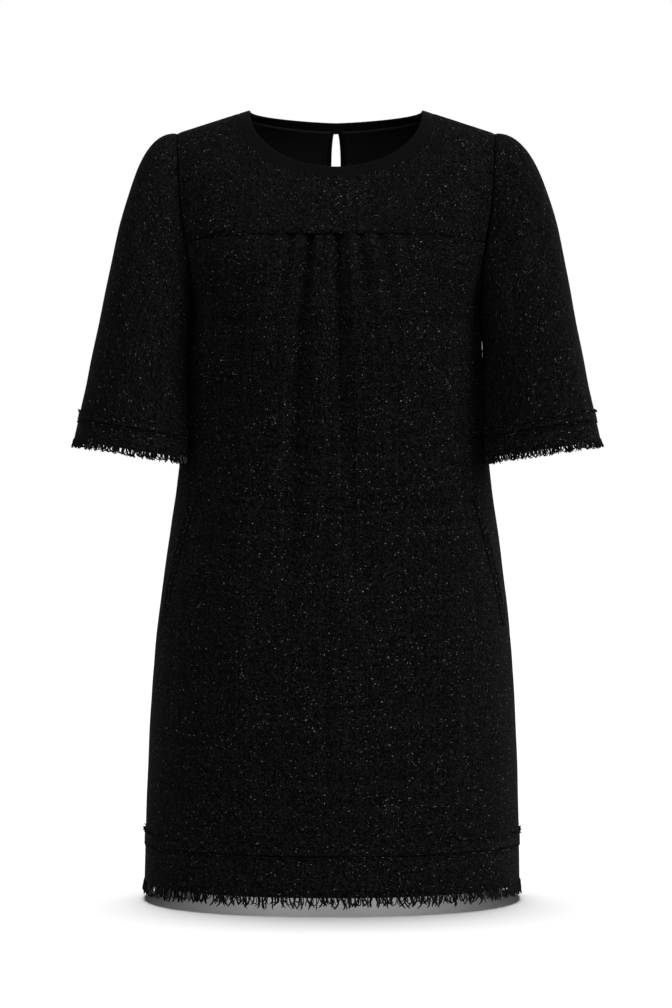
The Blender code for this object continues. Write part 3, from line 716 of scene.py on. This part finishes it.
def mirror_halves(name, points, upper, material, thickness):
    """Both halves of a grid as one sheet, welded along the centre below the keyhole, with its cut."""
    rows, columns = points.shape[:2]
    half = points[:, ::-1]
    other = points * MIRROR
    faces = grid_faces(rows, columns, False)
    both = np.concatenate([half.reshape(-1, 3), other.reshape(-1, 3)])
    uv_half = cloth_uv(half, False)
    uv = np.concatenate([uv_half.reshape(-1, 2), (uv_half * np.array([-1, 1]))[:, ::-1].reshape(-1, 2)])
    seam_left = np.arange(upper - 1, rows) * columns + columns - 1
    seam_right = rows * columns + np.arange(upper - 1, rows) * columns
    number = np.arange(2 * rows * columns)
    number[seam_right] = seam_left
    all_faces = np.concatenate([faces, faces + rows * columns])
    corners = uv[all_faces]
    piece = mesh_piece(name, both, number[all_faces], material, uv=corners)
    keep_used(piece)
    shell = piece.modifiers.new("cloth", "SOLIDIFY")
    shell.thickness = thickness
    shell.offset = -1
    print(f"{name}: {4 * len(all_faces)} triangles")
    declare(piece, np.concatenate([half, other], axis=1), "hung", rests_on=["neck_binding"])
    return piece


def keep_used(piece):
    """Removes the vertices that no face uses, which welding leaves behind."""
    work = bmesh.new()
    work.from_mesh(piece.data)
    bmesh.ops.delete(work, geom=[v for v in work.verts if not v.link_faces], context="VERTS")
    work.to_mesh(piece.data)
    work.free()


YOKE_ROWS, YOKE_COLUMNS, YOKE_DEPTH = 60, 150, 0.075
ARMHOLE_GROOVE = 0.4  # how deep the armhole's groove is beside the yoke seam's
grid = front_yoke_grid(YOKE_ROWS, YOKE_COLUMNS)
sideways = np.linspace(-1, 1, YOKE_COLUMNS)[None, :]
from_seam = (1 - np.linspace(0, 1, YOKE_ROWS)[:, None]) * YOKE_DEPTH
from_armhole = (1 - np.abs(sideways)) * SHOULDER_POINT
pressed = slack(grid, 0.35 * MM, 4.0) + groove(from_seam) * (1 - sideways**8)
pressed = pressed + ARMHOLE_GROOVE * groove(from_armhole)
grid = grid - grid_normals(grid, False) * pressed[..., None]
piece = cloth("front_yoke", grid, tweed, TWEED)
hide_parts("yoke_front")
declare(piece, grid, "hung", rests_on=["neck_binding"])

half, upper = back_yoke_grid(70, 75, -0.3 * MM, 0.0)
piece = mirror_halves("back_yoke", half, upper, tweed, TWEED)
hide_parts("yoke_back")

UNDER_YOKE = 2.6 * MM
half, upper = back_yoke_grid(60, 60, -0.4 * MM, -0.022)
half = half - grid_normals(half[:, ::-1], False)[:, ::-1] * UNDER_YOKE
half[upper - 1:, 0, 0] = 0
piece = mirror_halves("inner_back_lining", half, upper, lining, LINING)
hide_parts("back_lining")

# %% [markdown]
# ## The sleeves
# Each sleeve is a set-in sleeve, a little full at its head. A few soft folds break at the elbow side and
# under the arm, where the cloth has more room. The left one is made, and the right is its other side
# with its folds a little further round.

# %% Sleeves
SLEEVE_FOLDS = [
    # turn  share  depth    half_turn half_share
    (0.16, 0.30, 2.4 * MM, 0.035, 0.20),
    (0.30, 0.45, 3.0 * MM, 0.040, 0.26),
    (0.40, 0.62, 2.2 * MM, 0.035, 0.22),
    (0.66, 0.40, 2.8 * MM, 0.045, 0.24),
    (0.84, 0.55, 2.2 * MM, 0.040, 0.26),
    (0.04, 0.70, 1.4 * MM, 0.050, 0.24),
]
SLEEVE_RUN, FOLD_SHIFT = 0.3, {"left": 0.0, "right": 0.03}


def sleeve_cloth(turns, shares, side):
    """The sleeve's grid pressed in by each fold's depth * exp(-(turn offset)^2 - (share offset)^2)."""
    shift = FOLD_SHIFT[side]
    points = sleeve_grid(turns, shares=shares, side=side)
    pressed = slack(points, 0.5 * MM, 6.0 + shift)
    for turn, share, depth, half_turn, half_share in SLEEVE_FOLDS:
        slant = 0.06 * (shares[:, None] - share) + shift
        away = ((turns[None, :] - turn - slant + 0.5) % 1.0 - 0.5) / half_turn
        below = (shares[:, None] - share) / half_share
        pressed = pressed + depth * np.exp(-(away**2) - below**2)
    pressed *= ease(shares / 0.06)[:, None] * (1 - ease((shares - 0.86) / 0.12))[:, None]
    pressed = pressed + ARMHOLE_GROOVE * groove(shares * SLEEVE_RUN)[:, None]
    return points - grid_normals(points[:, ::-1], True)[:, ::-1] * pressed[..., None]


sleeve_turns = np.arange(150) / 150
sleeve_shares = np.linspace(0, 1, 150) ** 1.1
for side in ("left", "right"):
    grid = sleeve_cloth(sleeve_turns, sleeve_shares, side)[:, ::-1]
    if side == "right":
        grid = other_side(grid)
    piece = cloth(f"sleeve_cloth_{side}", grid, tweed, TWEED, closed=True)
    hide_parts(f"sleeve_{side}")
    declare(piece, grid, "hung", closed=True, rests_on=["yoke_front", "yoke_back"])

# %% [markdown]
# ## Bindings
# The neck is bound with a folded strip of plain crepe, so its section is a flat loop with a round fold at
# the finished edge. A closed outline is carried along the neck edge and its two ends are closed. The
# keyhole's narrower binding is made the same way.

# %% Bound edges
LAP, PROUD = 1.0 * MM, 0.25 * MM


def bound_strip(name, inner, outer, thickness, material):
    """A strip from inner to outer edge with a flat oval section: across = cos^0.35 with cos's sign and
    out = sin, both of the angle round the section. It laps over the cloth that it binds by LAP and stands
    PROUD of it."""
    outer = outer + unit(outer - inner) * LAP
    middle = np.stack([inner, (inner + outer) / 2, outer])
    normal = grid_normals(middle, False)[1]
    round_section = np.linspace(0, 2 * math.pi, 24, endpoint=False)
    across = np.sign(np.cos(round_section)) * np.abs(np.cos(round_section)) ** 0.35
    out = np.sin(round_section)
    share = ((1 - across) / 2)[:, None, None]
    level = ((out - 1) / 2)[:, None, None]
    section = inner * (1 - share) + outer * share + normal * (thickness * level + PROUD)
    rows, columns = section.shape[:2]
    ring = np.moveaxis(section, 0, 1)
    faces = grid_faces(columns, rows, True)
    caps = [list(range(rows)), list(range((columns - 1) * rows, columns * rows))[::-1]]
    along = np.concatenate([[0], np.cumsum(np.linalg.norm(np.diff(outer, axis=0), axis=1))])
    uv = np.stack(np.broadcast_arrays(along[:, None], 0.012 * share[:, 0, 0]), axis=-1).reshape(-1, 2)
    corners = np.concatenate([uv[faces].reshape(-1, 2)] + [uv[cap] for cap in caps])
    piece = mesh_piece(name, ring, faces.tolist() + caps, material, uv=corners)
    face_outwards(piece)
    print(f"{name}: {2 * len(faces)} triangles, {along[-1]:.3f} m along")
    return piece, along[-1]


def face_outwards(piece):
    """Recalculates the normals of a closed mesh so that they all point out."""
    work = bmesh.new()
    work.from_mesh(piece.data)
    bmesh.ops.recalc_face_normals(work, faces=work.faces)
    work.to_mesh(piece.data)
    work.free()


def neck_strip(columns):
    """The binding's finished and seam edges, from the centre back round the front and back again."""
    turns = np.linspace(-1, 1, columns) * math.pi
    angle = np.where(np.abs(turns) > math.pi / 2, math.pi - np.abs(turns), np.abs(turns))
    in_front = (np.abs(turns) <= math.pi / 2)[:, None]
    edges = []
    for edge in ("finished", "seam"):
        row = np.where(in_front, neck_edge(f"front_{edge}", angle), neck_edge(f"back_{edge}", angle))
        row[:, 0] *= np.where(turns < 0, -1.0, 1.0)
        edges.append(row)
    return edges


NECK_COLUMNS = 420
finished, seam = neck_strip(NECK_COLUMNS)
quick, slow = (np.sin(np.linspace(0, turns, NECK_COLUMNS)) for turns in (150, 37))
puckers = 0.25 * MM * quick * slow
seam = seam + np.array([0, 0, 1]) * puckers[:, None]
piece, length = bound_strip("neck_edge_binding", finished, seam, 2.4 * MM, crepe)
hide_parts("neck_binding")

# %% Keyhole
def on_back_yoke(out, drop):
    """The back yoke's surface near the centre back: the column's share is the distance out over the
    width that a share of 0.1 has at that drop."""
    shares = np.linspace(0, 1, 400)
    down = np.interp(drop, -yoke_point(0.0, shares, "back")[:, 2], shares)
    points = yoke_point(0.1 * np.abs(out) / yoke_point(0.1, down, "back")[..., 0], down, "back")
    points[..., 0] *= np.where(out < 0, -1.0, 1.0)
    return points


keyhole_top = NECK_EDGES["back_seam"][1] - 0.5 * MM
edges = []
for wide in (KEYHOLE_BINDING, 0.0):
    half_w, half_h = KEYHOLE_HALF_W + wide, KEYHOLE_HALF_H + wide
    turn = np.linspace(-1, 1, 120) * math.acos((keyhole_top - KEYHOLE_DROP) / half_h)
    edges.append(on_back_yoke(half_w * np.sin(turn), KEYHOLE_DROP + half_h * np.cos(turn)))
piece, length = bound_strip("keyhole_edge_binding", edges[1], edges[0], 3.7 * MM, crepe)
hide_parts("keyhole_binding")

# %% [markdown]
# ## Loose yarns
# The trims and fringes are hundreds of short yarns, some hanging free and some looped back on
# themselves. Each is a thin tube along a cubic, and all the yarns of a piece are computed at once: one
# array holds every yarn's path, and another carries a small ring of points along each of them.

# %% Yarn tubes
def yarn_paths(root, first, second, tip, steps):
    """Cubics with these four control points: (1-t)^3, 3t(1-t)^2, 3t^2(1-t) and t^3 of them in turn."""
    t = np.linspace(0, 1, steps)[None, :, None]
    a, b, c, d = (p[:, None, :] for p in (root, first, second, tip))
    return (1 - t) ** 3 * a + 3 * t * (1 - t) ** 2 * b + 3 * t * t * (1 - t) * c + t**3 * d


YARN_SIDES = 5


def yarn_mesh(paths, radius):
    """Every path's ring is radius * (cos * side + sin * up), its ends drawn in to close the tube."""
    sides = YARN_SIDES
    count, steps = paths.shape[:2]
    tangent = unit(np.gradient(paths, axis=1))
    guide = np.where(np.abs(tangent[..., 1:2]) > 0.9, np.array([1.0, 0, 0]), np.array([0, 1.0, 0]))
    side = unit(np.cross(tangent, guide))
    up = np.cross(side, tangent)
    turn = np.arange(sides) * 2 * math.pi / sides
    taper = np.ones(steps)
    taper[[0, -1]] = 0.45
    size = np.asarray(radius).reshape(-1, 1, 1, 1) * taper[None, :, None, None]
    ring = np.cos(turn)[:, None] * side[:, :, None, :] + np.sin(turn)[:, None] * up[:, :, None, :]
    vertices = (paths[:, :, None, :] + size * ring).reshape(-1, 3)
    walls = grid_faces(steps, sides, True)
    first_cap = np.arange(sides)[::-1]
    last_cap = (steps - 1) * sides + np.arange(sides)
    offsets = np.arange(count) * steps * sides
    quads = (walls[None] + offsets[:, None, None]).reshape(-1, 4)
    caps = np.concatenate([first_cap[None] + offsets[:, None], last_cap[None] + offsets[:, None]])
    return vertices, quads.tolist() + caps.tolist()


def yarn_piece(name, groups):
    """One mesh of several groups of yarns, each given as (paths, radii), with a random tone per yarn."""
    vertices, faces, tones, start = [], [], [], 0
    for paths, radius in groups:
        found, corners = yarn_mesh(paths, radius)
        vertices.append(found)
        faces += [[c + start for c in face] for face in corners]
        per_yarn = rng.random(len(paths))
        tones.append(np.repeat(per_yarn, paths.shape[1] * YARN_SIDES))
        start += len(found)
    piece = mesh_piece(name, np.concatenate(vertices), faces, yarn, tone=np.concatenate(tones))
    print(f"{name}: {sum(len(g[0]) for g in groups)} yarns, {len(faces)} faces")
    return piece


def scatter(count, spread):
    """Random offsets for each yarn, evenly spread to both sides."""
    return (rng.random(count) * 2 - 1) * spread


# %% [markdown]
# ## Edges that carry yarns
# A trim or a fringe follows a line round the hem or a cuff. For each yarn the line gives a place, the
# way along it, the way out of the cloth and the way down, and the yarn's own shape is set in these.

# %% Lines round the hem and the cuffs
def hem_line(place, drop):
    """Places (0 to 1) round the body at a drop: the points, and the ways along, out and down there."""
    def at(share, level):
        angle = share * 2 * math.pi
        in_front = (np.cos(angle) >= 0)[:, None]
        behind = body_point(math.pi - angle, level, "back")
        return swayed(np.where(in_front, body_point(angle, level, "front"), behind))

    drop = np.broadcast_to(drop, place.shape)
    point = at(place, drop)
    along = unit(at(place + 0.001, drop) - at(place - 0.001, drop))
    down = unit(at(place, drop + 0.004) - point)
    return point, along, unit(np.cross(along, down)), down


def cuff_line(place, height, side):
    """The same at a height above a cuff's edge, on the left sleeve."""
    height = np.broadcast_to(height, place.shape)
    rows, columns = 12, 120
    levels = np.linspace(height.min() - 0.004, height.max() + 0.001, rows)
    ring = sleeve_grid(np.arange(columns) / columns, heights=levels, side=side)
    grid = joined(ring)
    u = (place % 1.0) * columns
    v = (height - levels[0]) / (levels[-1] - levels[0]) * (rows - 1)
    i, j = np.clip(v.astype(int), 0, rows - 2), np.clip(u.astype(int), 0, columns - 1)
    fv, fu = (v - i)[:, None], (u - j)[:, None]

    def blend(g):
        upper = (1 - fu) * g[i, j] + fu * g[i, j + 1]
        return (1 - fv) * upper + fv * ((1 - fu) * g[i + 1, j] + fu * g[i + 1, j + 1])

    along_grid = joined(unit(np.roll(ring, -1, axis=1) - np.roll(ring, 1, axis=1)))
    down_grid = unit(-np.gradient(grid, axis=0))
    point, along, down = blend(grid), unit(blend(along_grid)), unit(blend(down_grid))
    return point, along, unit(np.cross(down, along)), down


def turned_out(line):
    """Turns the way out of the cloth so that it points away from the middle of the line."""
    point, along, out, down = line
    middle = point.mean(axis=0)
    sign = np.sign(np.sum((point - middle) * out, axis=-1).mean())
    return point, along, out * sign, down


# %% [markdown]
# ## Trims and fringes
# The trim is a strip of the tweed, a little over a centimetre deep, with tufts along its two edges. The
# fringe is longer: strands and loops that hang from the band's edge and slant this way and that.

# %% Kinds of yarn
def tufts(line, reach, lean, radius):
    """Short loops that leave the cloth and come back beside their root, their tops reaching out and down
    by a random share."""
    point, along, out, down = turned_out(line)
    count = len(point)
    size = reach * (0.55 + 0.6 * rng.random(count))[:, None]
    slant = scatter(count, 0.8)[:, None]
    wide = (0.0008 + 0.0016 * rng.random(count))[:, None]
    tip = out * size * 0.8 + down * size * (lean + scatter(count, 0.45)[:, None]) + along * slant * size
    start = point - out * 0.6 * MM
    paths = yarn_paths(start - along * wide, start + tip * 1.25 - along * wide * 1.5,
                       start + tip * 1.25 + along * wide * 1.5, start + along * wide, 9)
    return paths, radius * (0.75 + 0.5 * rng.random(count))


def strands(line, length, radius, outward=0.12):
    """Free yarns that hang from the line, bent along it by a random amount."""
    point, along, out, down = turned_out(line)
    count = len(point)
    size = length * (0.70 + 0.30 * rng.random(count))[:, None]
    slant, bend = scatter(count, 0.45)[:, None], scatter(count, 1.1)[:, None]
    lift = outward * (rng.random(count)[:, None] * 1.6 - 0.5)
    root = point - down * 2.0 * MM + out * scatter(count, 0.5 * MM)[:, None]
    tip = root + (down + along * slant + out * lift) * size
    first = root + (down + along * bend * 0.6) * size * 0.35
    second = root + (down * 0.75 + along * (slant * 0.6 + bend * 0.6) + out * lift) * size * 0.8
    return yarn_paths(root, first, second, tip, 8), radius * (0.75 + 0.5 * rng.random(count))


def hanging_loops(line, length, radius):
    """Yarns that hang down and come up again beside their root, as a narrow loop."""
    point, along, out, down = turned_out(line)
    count = len(point)
    size = length * (0.6 + 0.4 * rng.random(count))[:, None]
    slant = scatter(count, 0.4)[:, None]
    wide = (0.0012 + 0.0022 * rng.random(count))[:, None]
    root = point - down * 2.0 * MM + out * scatter(count, 0.6 * MM)[:, None]
    low = (down * 1.3 + along * slant + out * scatter(count, 0.18)[:, None]) * size
    paths = yarn_paths(root - along * wide, root + low - along * wide * 2.0,
                       root + low + along * wide * 2.0, root + along * wide, 12)
    return paths, radius * (0.75 + 0.5 * rng.random(count))


def spread_places(count, jitter=0.6):
    """Even places round a line, each moved by a random part of a step."""
    return (np.arange(count) + jitter * rng.random(count)) / count


# %% Edged bands
TRIM_LIFT, TRIM_THICK, TRIM_MARGIN = 1.1 * MM, 1.0 * MM, 1.0 * MM


def edged_band(edge, end, band_grid, strip_grid, make_trim, make_fringe, rests_on):
    """A band of tweed with the strip, tufts and fringe that it carries. The yarns are made in turn, since
    their random numbers follow one another."""
    band = cloth(f"{edge}_band_cloth{end}", band_grid, tweed, TWEED, closed=True)
    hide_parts(f"{edge}_band{end}")
    strip_grid = strip_grid + grid_normals(strip_grid, True) * TRIM_LIFT
    strip = cloth(f"{edge}_trim_strip{end}", strip_grid, tweed, TRIM_THICK, closed=True)
    trim = yarn_piece(f"{edge}_trim_yarns{end}", make_trim())
    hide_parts(f"{edge}_trim{end}")
    fringe = yarn_piece(f"{edge}_fringe_yarns{end}", make_fringe())
    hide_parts(f"{edge}_fringe{end}")
    declare(band, band_grid, "hung", closed=True, rests_on=rests_on, with_pieces=[strip, trim, fringe])


# %% Hem
def hem_grid(drops):
    """Rings round the body, one for each drop."""
    return np.stack([hem_line(np.arange(260) / 260, drop)[0] for drop in drops])


def hem_trim():
    """Long tufts along the strip's top edge, then short ones along the band's seam."""
    upper = hem_line(spread_places(430), TRIM_DROP + TRIM_MARGIN + scatter(430, 1.2 * MM))
    top = tufts(upper, 4.4 * MM, -0.15, 0.45 * MM)
    lower = hem_line(spread_places(520), BAND_DROP + scatter(520, 1.0 * MM))
    return [top, tufts(lower, 2.0 * MM, 0.45, 0.45 * MM)]


def hem_fringe():
    """Long strands, shorter ones, and loops."""
    length = FRINGE_DROP - HEM_DROP + 0.001
    return [
        strands(hem_line(spread_places(400), HEM_DROP), length, 0.85 * MM),
        strands(hem_line(spread_places(220), HEM_DROP), length * 0.75, 0.66 * MM),
        hanging_loops(hem_line(spread_places(200), HEM_DROP), length * 0.72, 0.64 * MM),
    ]


edged_band("hem", "", hem_grid(np.linspace(BAND_DROP + SEAM_GAP / 2, HEM_DROP, 16)),
           hem_grid(np.linspace(TRIM_DROP + TRIM_MARGIN, BAND_DROP - TRIM_MARGIN, 6)),
           hem_trim, hem_fringe, ["panel_front", "panel_back"])

# %% Cuffs
def reflect(groups, side):
    """The yarn paths as they are on the left, or with x turned round on the right."""
    return [(paths * (1 if side == "left" else MIRROR), radius) for paths, radius in groups]


def cuff_grid(heights, side):
    """Rings round the cuff, one for each height above its edge, facing out on either side."""
    grid = sleeve_grid(np.arange(110) / 110, heights=heights, side=side)[:, ::-1]
    return other_side(grid) if side == "right" else grid


def cuff_trim(side):
    """Long tufts along the strip's top edge, then short ones along the band's seam."""
    upper = CUFF_BAND + CUFF_TRIM - TRIM_MARGIN
    line = cuff_line(spread_places(150), upper + scatter(150, 1.2 * MM), side)
    top = tufts(line, 4.2 * MM, -0.15, 0.45 * MM)
    line = cuff_line(spread_places(180), CUFF_BAND + scatter(180, 1.0 * MM), side)
    return reflect([top, tufts(line, 1.9 * MM, 0.45, 0.45 * MM)], side)


def cuff_fringe(side):
    """Strands and loops."""
    hanging = strands(cuff_line(spread_places(100), 0.0, side), CUFF_FRINGE + 0.001, 0.68 * MM)
    loops = hanging_loops(cuff_line(spread_places(100), 0.0, side), CUFF_FRINGE, 0.6 * MM)
    return reflect([hanging, loops], side)


for side in ("left", "right"):
    band_heights = np.linspace(CUFF_BAND - SEAM_GAP / 2, 0, 10)
    strip_heights = np.linspace(CUFF_BAND + CUFF_TRIM - TRIM_MARGIN, CUFF_BAND + TRIM_MARGIN, 5)
    edged_band("cuff", f"_{side}", cuff_grid(band_heights, side), cuff_grid(strip_heights, side),
               partial(cuff_trim, side), partial(cuff_fringe, side), [f"sleeve_cloth_{side}"])

# %% [markdown]
# ## Pockets
# Each side pocket opens in a slanting slit in the front panel. Its welt is a narrow folded strip that
# lies along the slit with its outer edge standing up a little, which leaves the mouth dark beneath it.

# %% Pocket welts
POCKET_ENDS = [(0.436, 58.0), (0.574, 70.5)]
POCKET_WIDTH, WELT_THICK = 0.009, 0.9 * MM
(top_drop, top_angle), (low_drop, low_angle) = POCKET_ENDS
along = np.linspace(0, 1, 90)[:, None]
drop = top_drop + (low_drop - top_drop) * along
angle = np.radians(top_angle + (low_angle - top_angle) * along)
wide = np.linalg.norm(body_point(angle + 0.01, drop, "front") - body_point(angle, drop, "front"), axis=-1)
half_angle = 0.01 * POCKET_WIDTH / 2 / wide
across = np.linspace(-1, 1, 14)[None, :]
flat = body_point(angle + half_angle * across, drop, "front")
standing = POCKET_WIDTH * 0.20 * ease((across + 0.2) / 1.2) * np.sin(math.pi * along) ** 0.5
lifted = flat + grid_normals(flat, False) * (SEAM_GAP + WELT_THICK + standing)[..., None]
for side in ("left", "right"):
    points = swayed(other_side(lifted) if side == "right" else lifted)
    welt = cloth(f"pocket_edge_{side}", points, tweed, WELT_THICK)
    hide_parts(f"pocket_welt_{side}")
    declare(welt, points, "folded", rests_on=["panel_front"])

# %% [markdown]
# ## The button and its loop
# A small button covered in the crepe sits on the binding behind the neck, and a thread loop from the
# other end goes round it. The button is a turned profile, and the loop is one yarn tube.

# %% Closure
centre_finished = neck_edge("back_finished", np.array(0.0))
centre_seam = neck_edge("back_seam", np.array(0.0))
middle, down = (centre_finished + centre_seam) / 2, unit(centre_seam - centre_finished)
across = np.array([1.0, 0, 0])
out = np.cross(across, down)
button_low, button_high = (np.array(corner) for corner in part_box("button"))
BUTTON_OUT = float(button_low[0] + button_high[0]) / 2
BUTTON_RADIUS = float(button_high[0] - button_low[0]) / 2
BUTTON_HEIGHT = 3.4 * MM
rise = np.linspace(0, 1, 14)[:, None]
spin = np.linspace(0, 2 * math.pi, 40, endpoint=False)[None, :]
radius = BUTTON_RADIUS * np.sin(math.pi * (0.02 + 0.86 * rise)) ** 0.55
level = 0.6 * MM + BUTTON_HEIGHT * (0.5 + 0.5 * np.cos(math.pi * rise))
ring = np.cos(spin)[..., None] * across + np.sin(spin)[..., None] * down
dome = middle + BUTTON_OUT * across + radius[..., None] * ring + (level + 0 * spin)[..., None] * out
faces = grid_faces(14, 40, True)
caps = [list(range(40)), list(range(13 * 40, 14 * 40))[::-1]]
uv = np.stack([dome[..., 0], dome[..., 2]], axis=-1).reshape(-1, 2)
corners = np.concatenate([uv[faces].reshape(-1, 2)] + [uv[cap] for cap in caps])
button = mesh_piece("covered_button", dome, faces.tolist() + caps, crepe, uv=corners)
face_outwards(button)
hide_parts("button")

LOOP_WIRE = 0.6 * MM
round_button = BUTTON_RADIUS + 0.3 * MM + LOOP_WIRE
bend = np.linspace(math.pi / 2, -math.pi / 2, 25)
leg_x, leg_y = np.array([-0.006, -0.003, 0.0]), np.array([0.55, 0.70, 0.86])
loop_x = np.concatenate([leg_x, BUTTON_OUT + round_button * np.cos(bend), leg_x[::-1]])
loop_y = round_button * np.concatenate([leg_y, np.sin(bend), -leg_y[::-1]])
path = middle + loop_x[:, None] * across + loop_y[:, None] * down + (LOOP_WIRE + 0.6 * MM) * out
loop = yarn_piece("thread_loop", [(path[None], np.array([LOOP_WIRE]))])
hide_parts("button_loop")

# %% [markdown]
# ## Floor, light and camera
# Black cloth shows its folds only where the light has a direction, so the white surround is there only to
# be seen. The light comes from wide soft suns: a strong one on the camera's right, a weaker one on its
# left, a little from the front and a back light. The floor has an overhead sun of its own, a little
# behind, whose soft shade falls forward of the hem. The sleeves cast none there. The camera is level, 3 m
# in front and a little below the dress's middle.

# %% Stage
FLOOR_GAP = 6 * MM
floor_mesh = bpy.data.meshes.new("floor")
floor_z, reach = -FRINGE_DROP - FLOOR_GAP, 30.0
corners = [(x * reach, y * reach, floor_z) for x, y in ((-1, -1), (1, -1), (1, 1), (-1, 1))]
floor_mesh.from_pydata(corners, [], [(0, 1, 2, 3)])
floor_finish = bpy.data.materials.new("pale floor")
floor_finish.use_nodes = True
floor_shader = floor_finish.node_tree.nodes["Principled BSDF"]
floor_shader.inputs["Base Color"].default_value = (0.8, 0.8, 0.8, 1)
floor_shader.inputs["Roughness"].default_value = 1.0
floor_shader.inputs["Specular IOR Level"].default_value = 0.0
floor_mesh.materials.append(floor_finish)
floor = bpy.data.objects.new("floor", floor_mesh)
bpy.context.collection.objects.link(floor)
floor.visible_diffuse = False

world = bpy.data.worlds.new("studio")
bpy.context.scene.world = world
world.use_nodes = True
world.node_tree.nodes["Background"].inputs[0].default_value = (1, 1, 1, 1)
world.node_tree.nodes["Background"].inputs[1].default_value = 1.0
world.cycles_visibility.diffuse = False

off_the_floor = bpy.data.collections.new("everything but the floor")
off_the_floor.objects.link(floor)
off_the_floor.collection_objects[0].light_linking.link_state = "EXCLUDE"
floor_alone = bpy.data.collections.new("the floor alone")
floor_alone.objects.link(floor)
shades_the_floor = bpy.data.collections.new("what shades the floor")
for piece in bpy.context.collection.objects:
    if piece.type == "MESH" and "sleeve" not in piece.name and "cuff" not in piece.name and piece != floor:
        shades_the_floor.objects.link(piece)


def soft_sun(name, bearing, height, spread, strength, receivers):
    """A sun at a bearing (0 in front, 90 on the camera's right) and a height above level, in degrees."""
    light = bpy.data.lights.new(name, "SUN")
    light.energy, light.angle = strength, math.radians(spread)
    lamp = bpy.data.objects.new(name, light)
    bpy.context.collection.objects.link(lamp)
    round_, up = math.radians(bearing), math.radians(height)
    towards = Vector((math.sin(round_) * math.cos(up), -math.cos(round_) * math.cos(up), math.sin(up)))
    lamp.rotation_euler = towards.to_track_quat("Z", "Y").to_euler()
    lamp.light_linking.receiver_collection = receivers
    return lamp


SUNS = [
    # name   bearing height spread strength
    ("right", 62, 28, 32, 2.6),
    ("left", -56, 28, 36, 1.0),
    ("front", 4, 32, 30, 1.1),
    ("back", 130, 25, 50, 0.9),
]
for sun in SUNS:
    soft_sun(*sun, off_the_floor)
overhead = soft_sun("overhead", 180, 85, 22, 4.4, floor_alone)
overhead.light_linking.blocker_collection = shades_the_floor

lens = bpy.data.cameras.new("camera")
lens.lens = 95.66
camera = bpy.data.objects.new("camera", lens)
bpy.context.collection.objects.link(camera)
camera.location = (0, -3.0, -0.441)
camera.rotation_euler = (math.pi / 2, 0, 0)
bpy.context.scene.camera = camera
bpy.context.scene.view_settings.view_transform = "Standard"
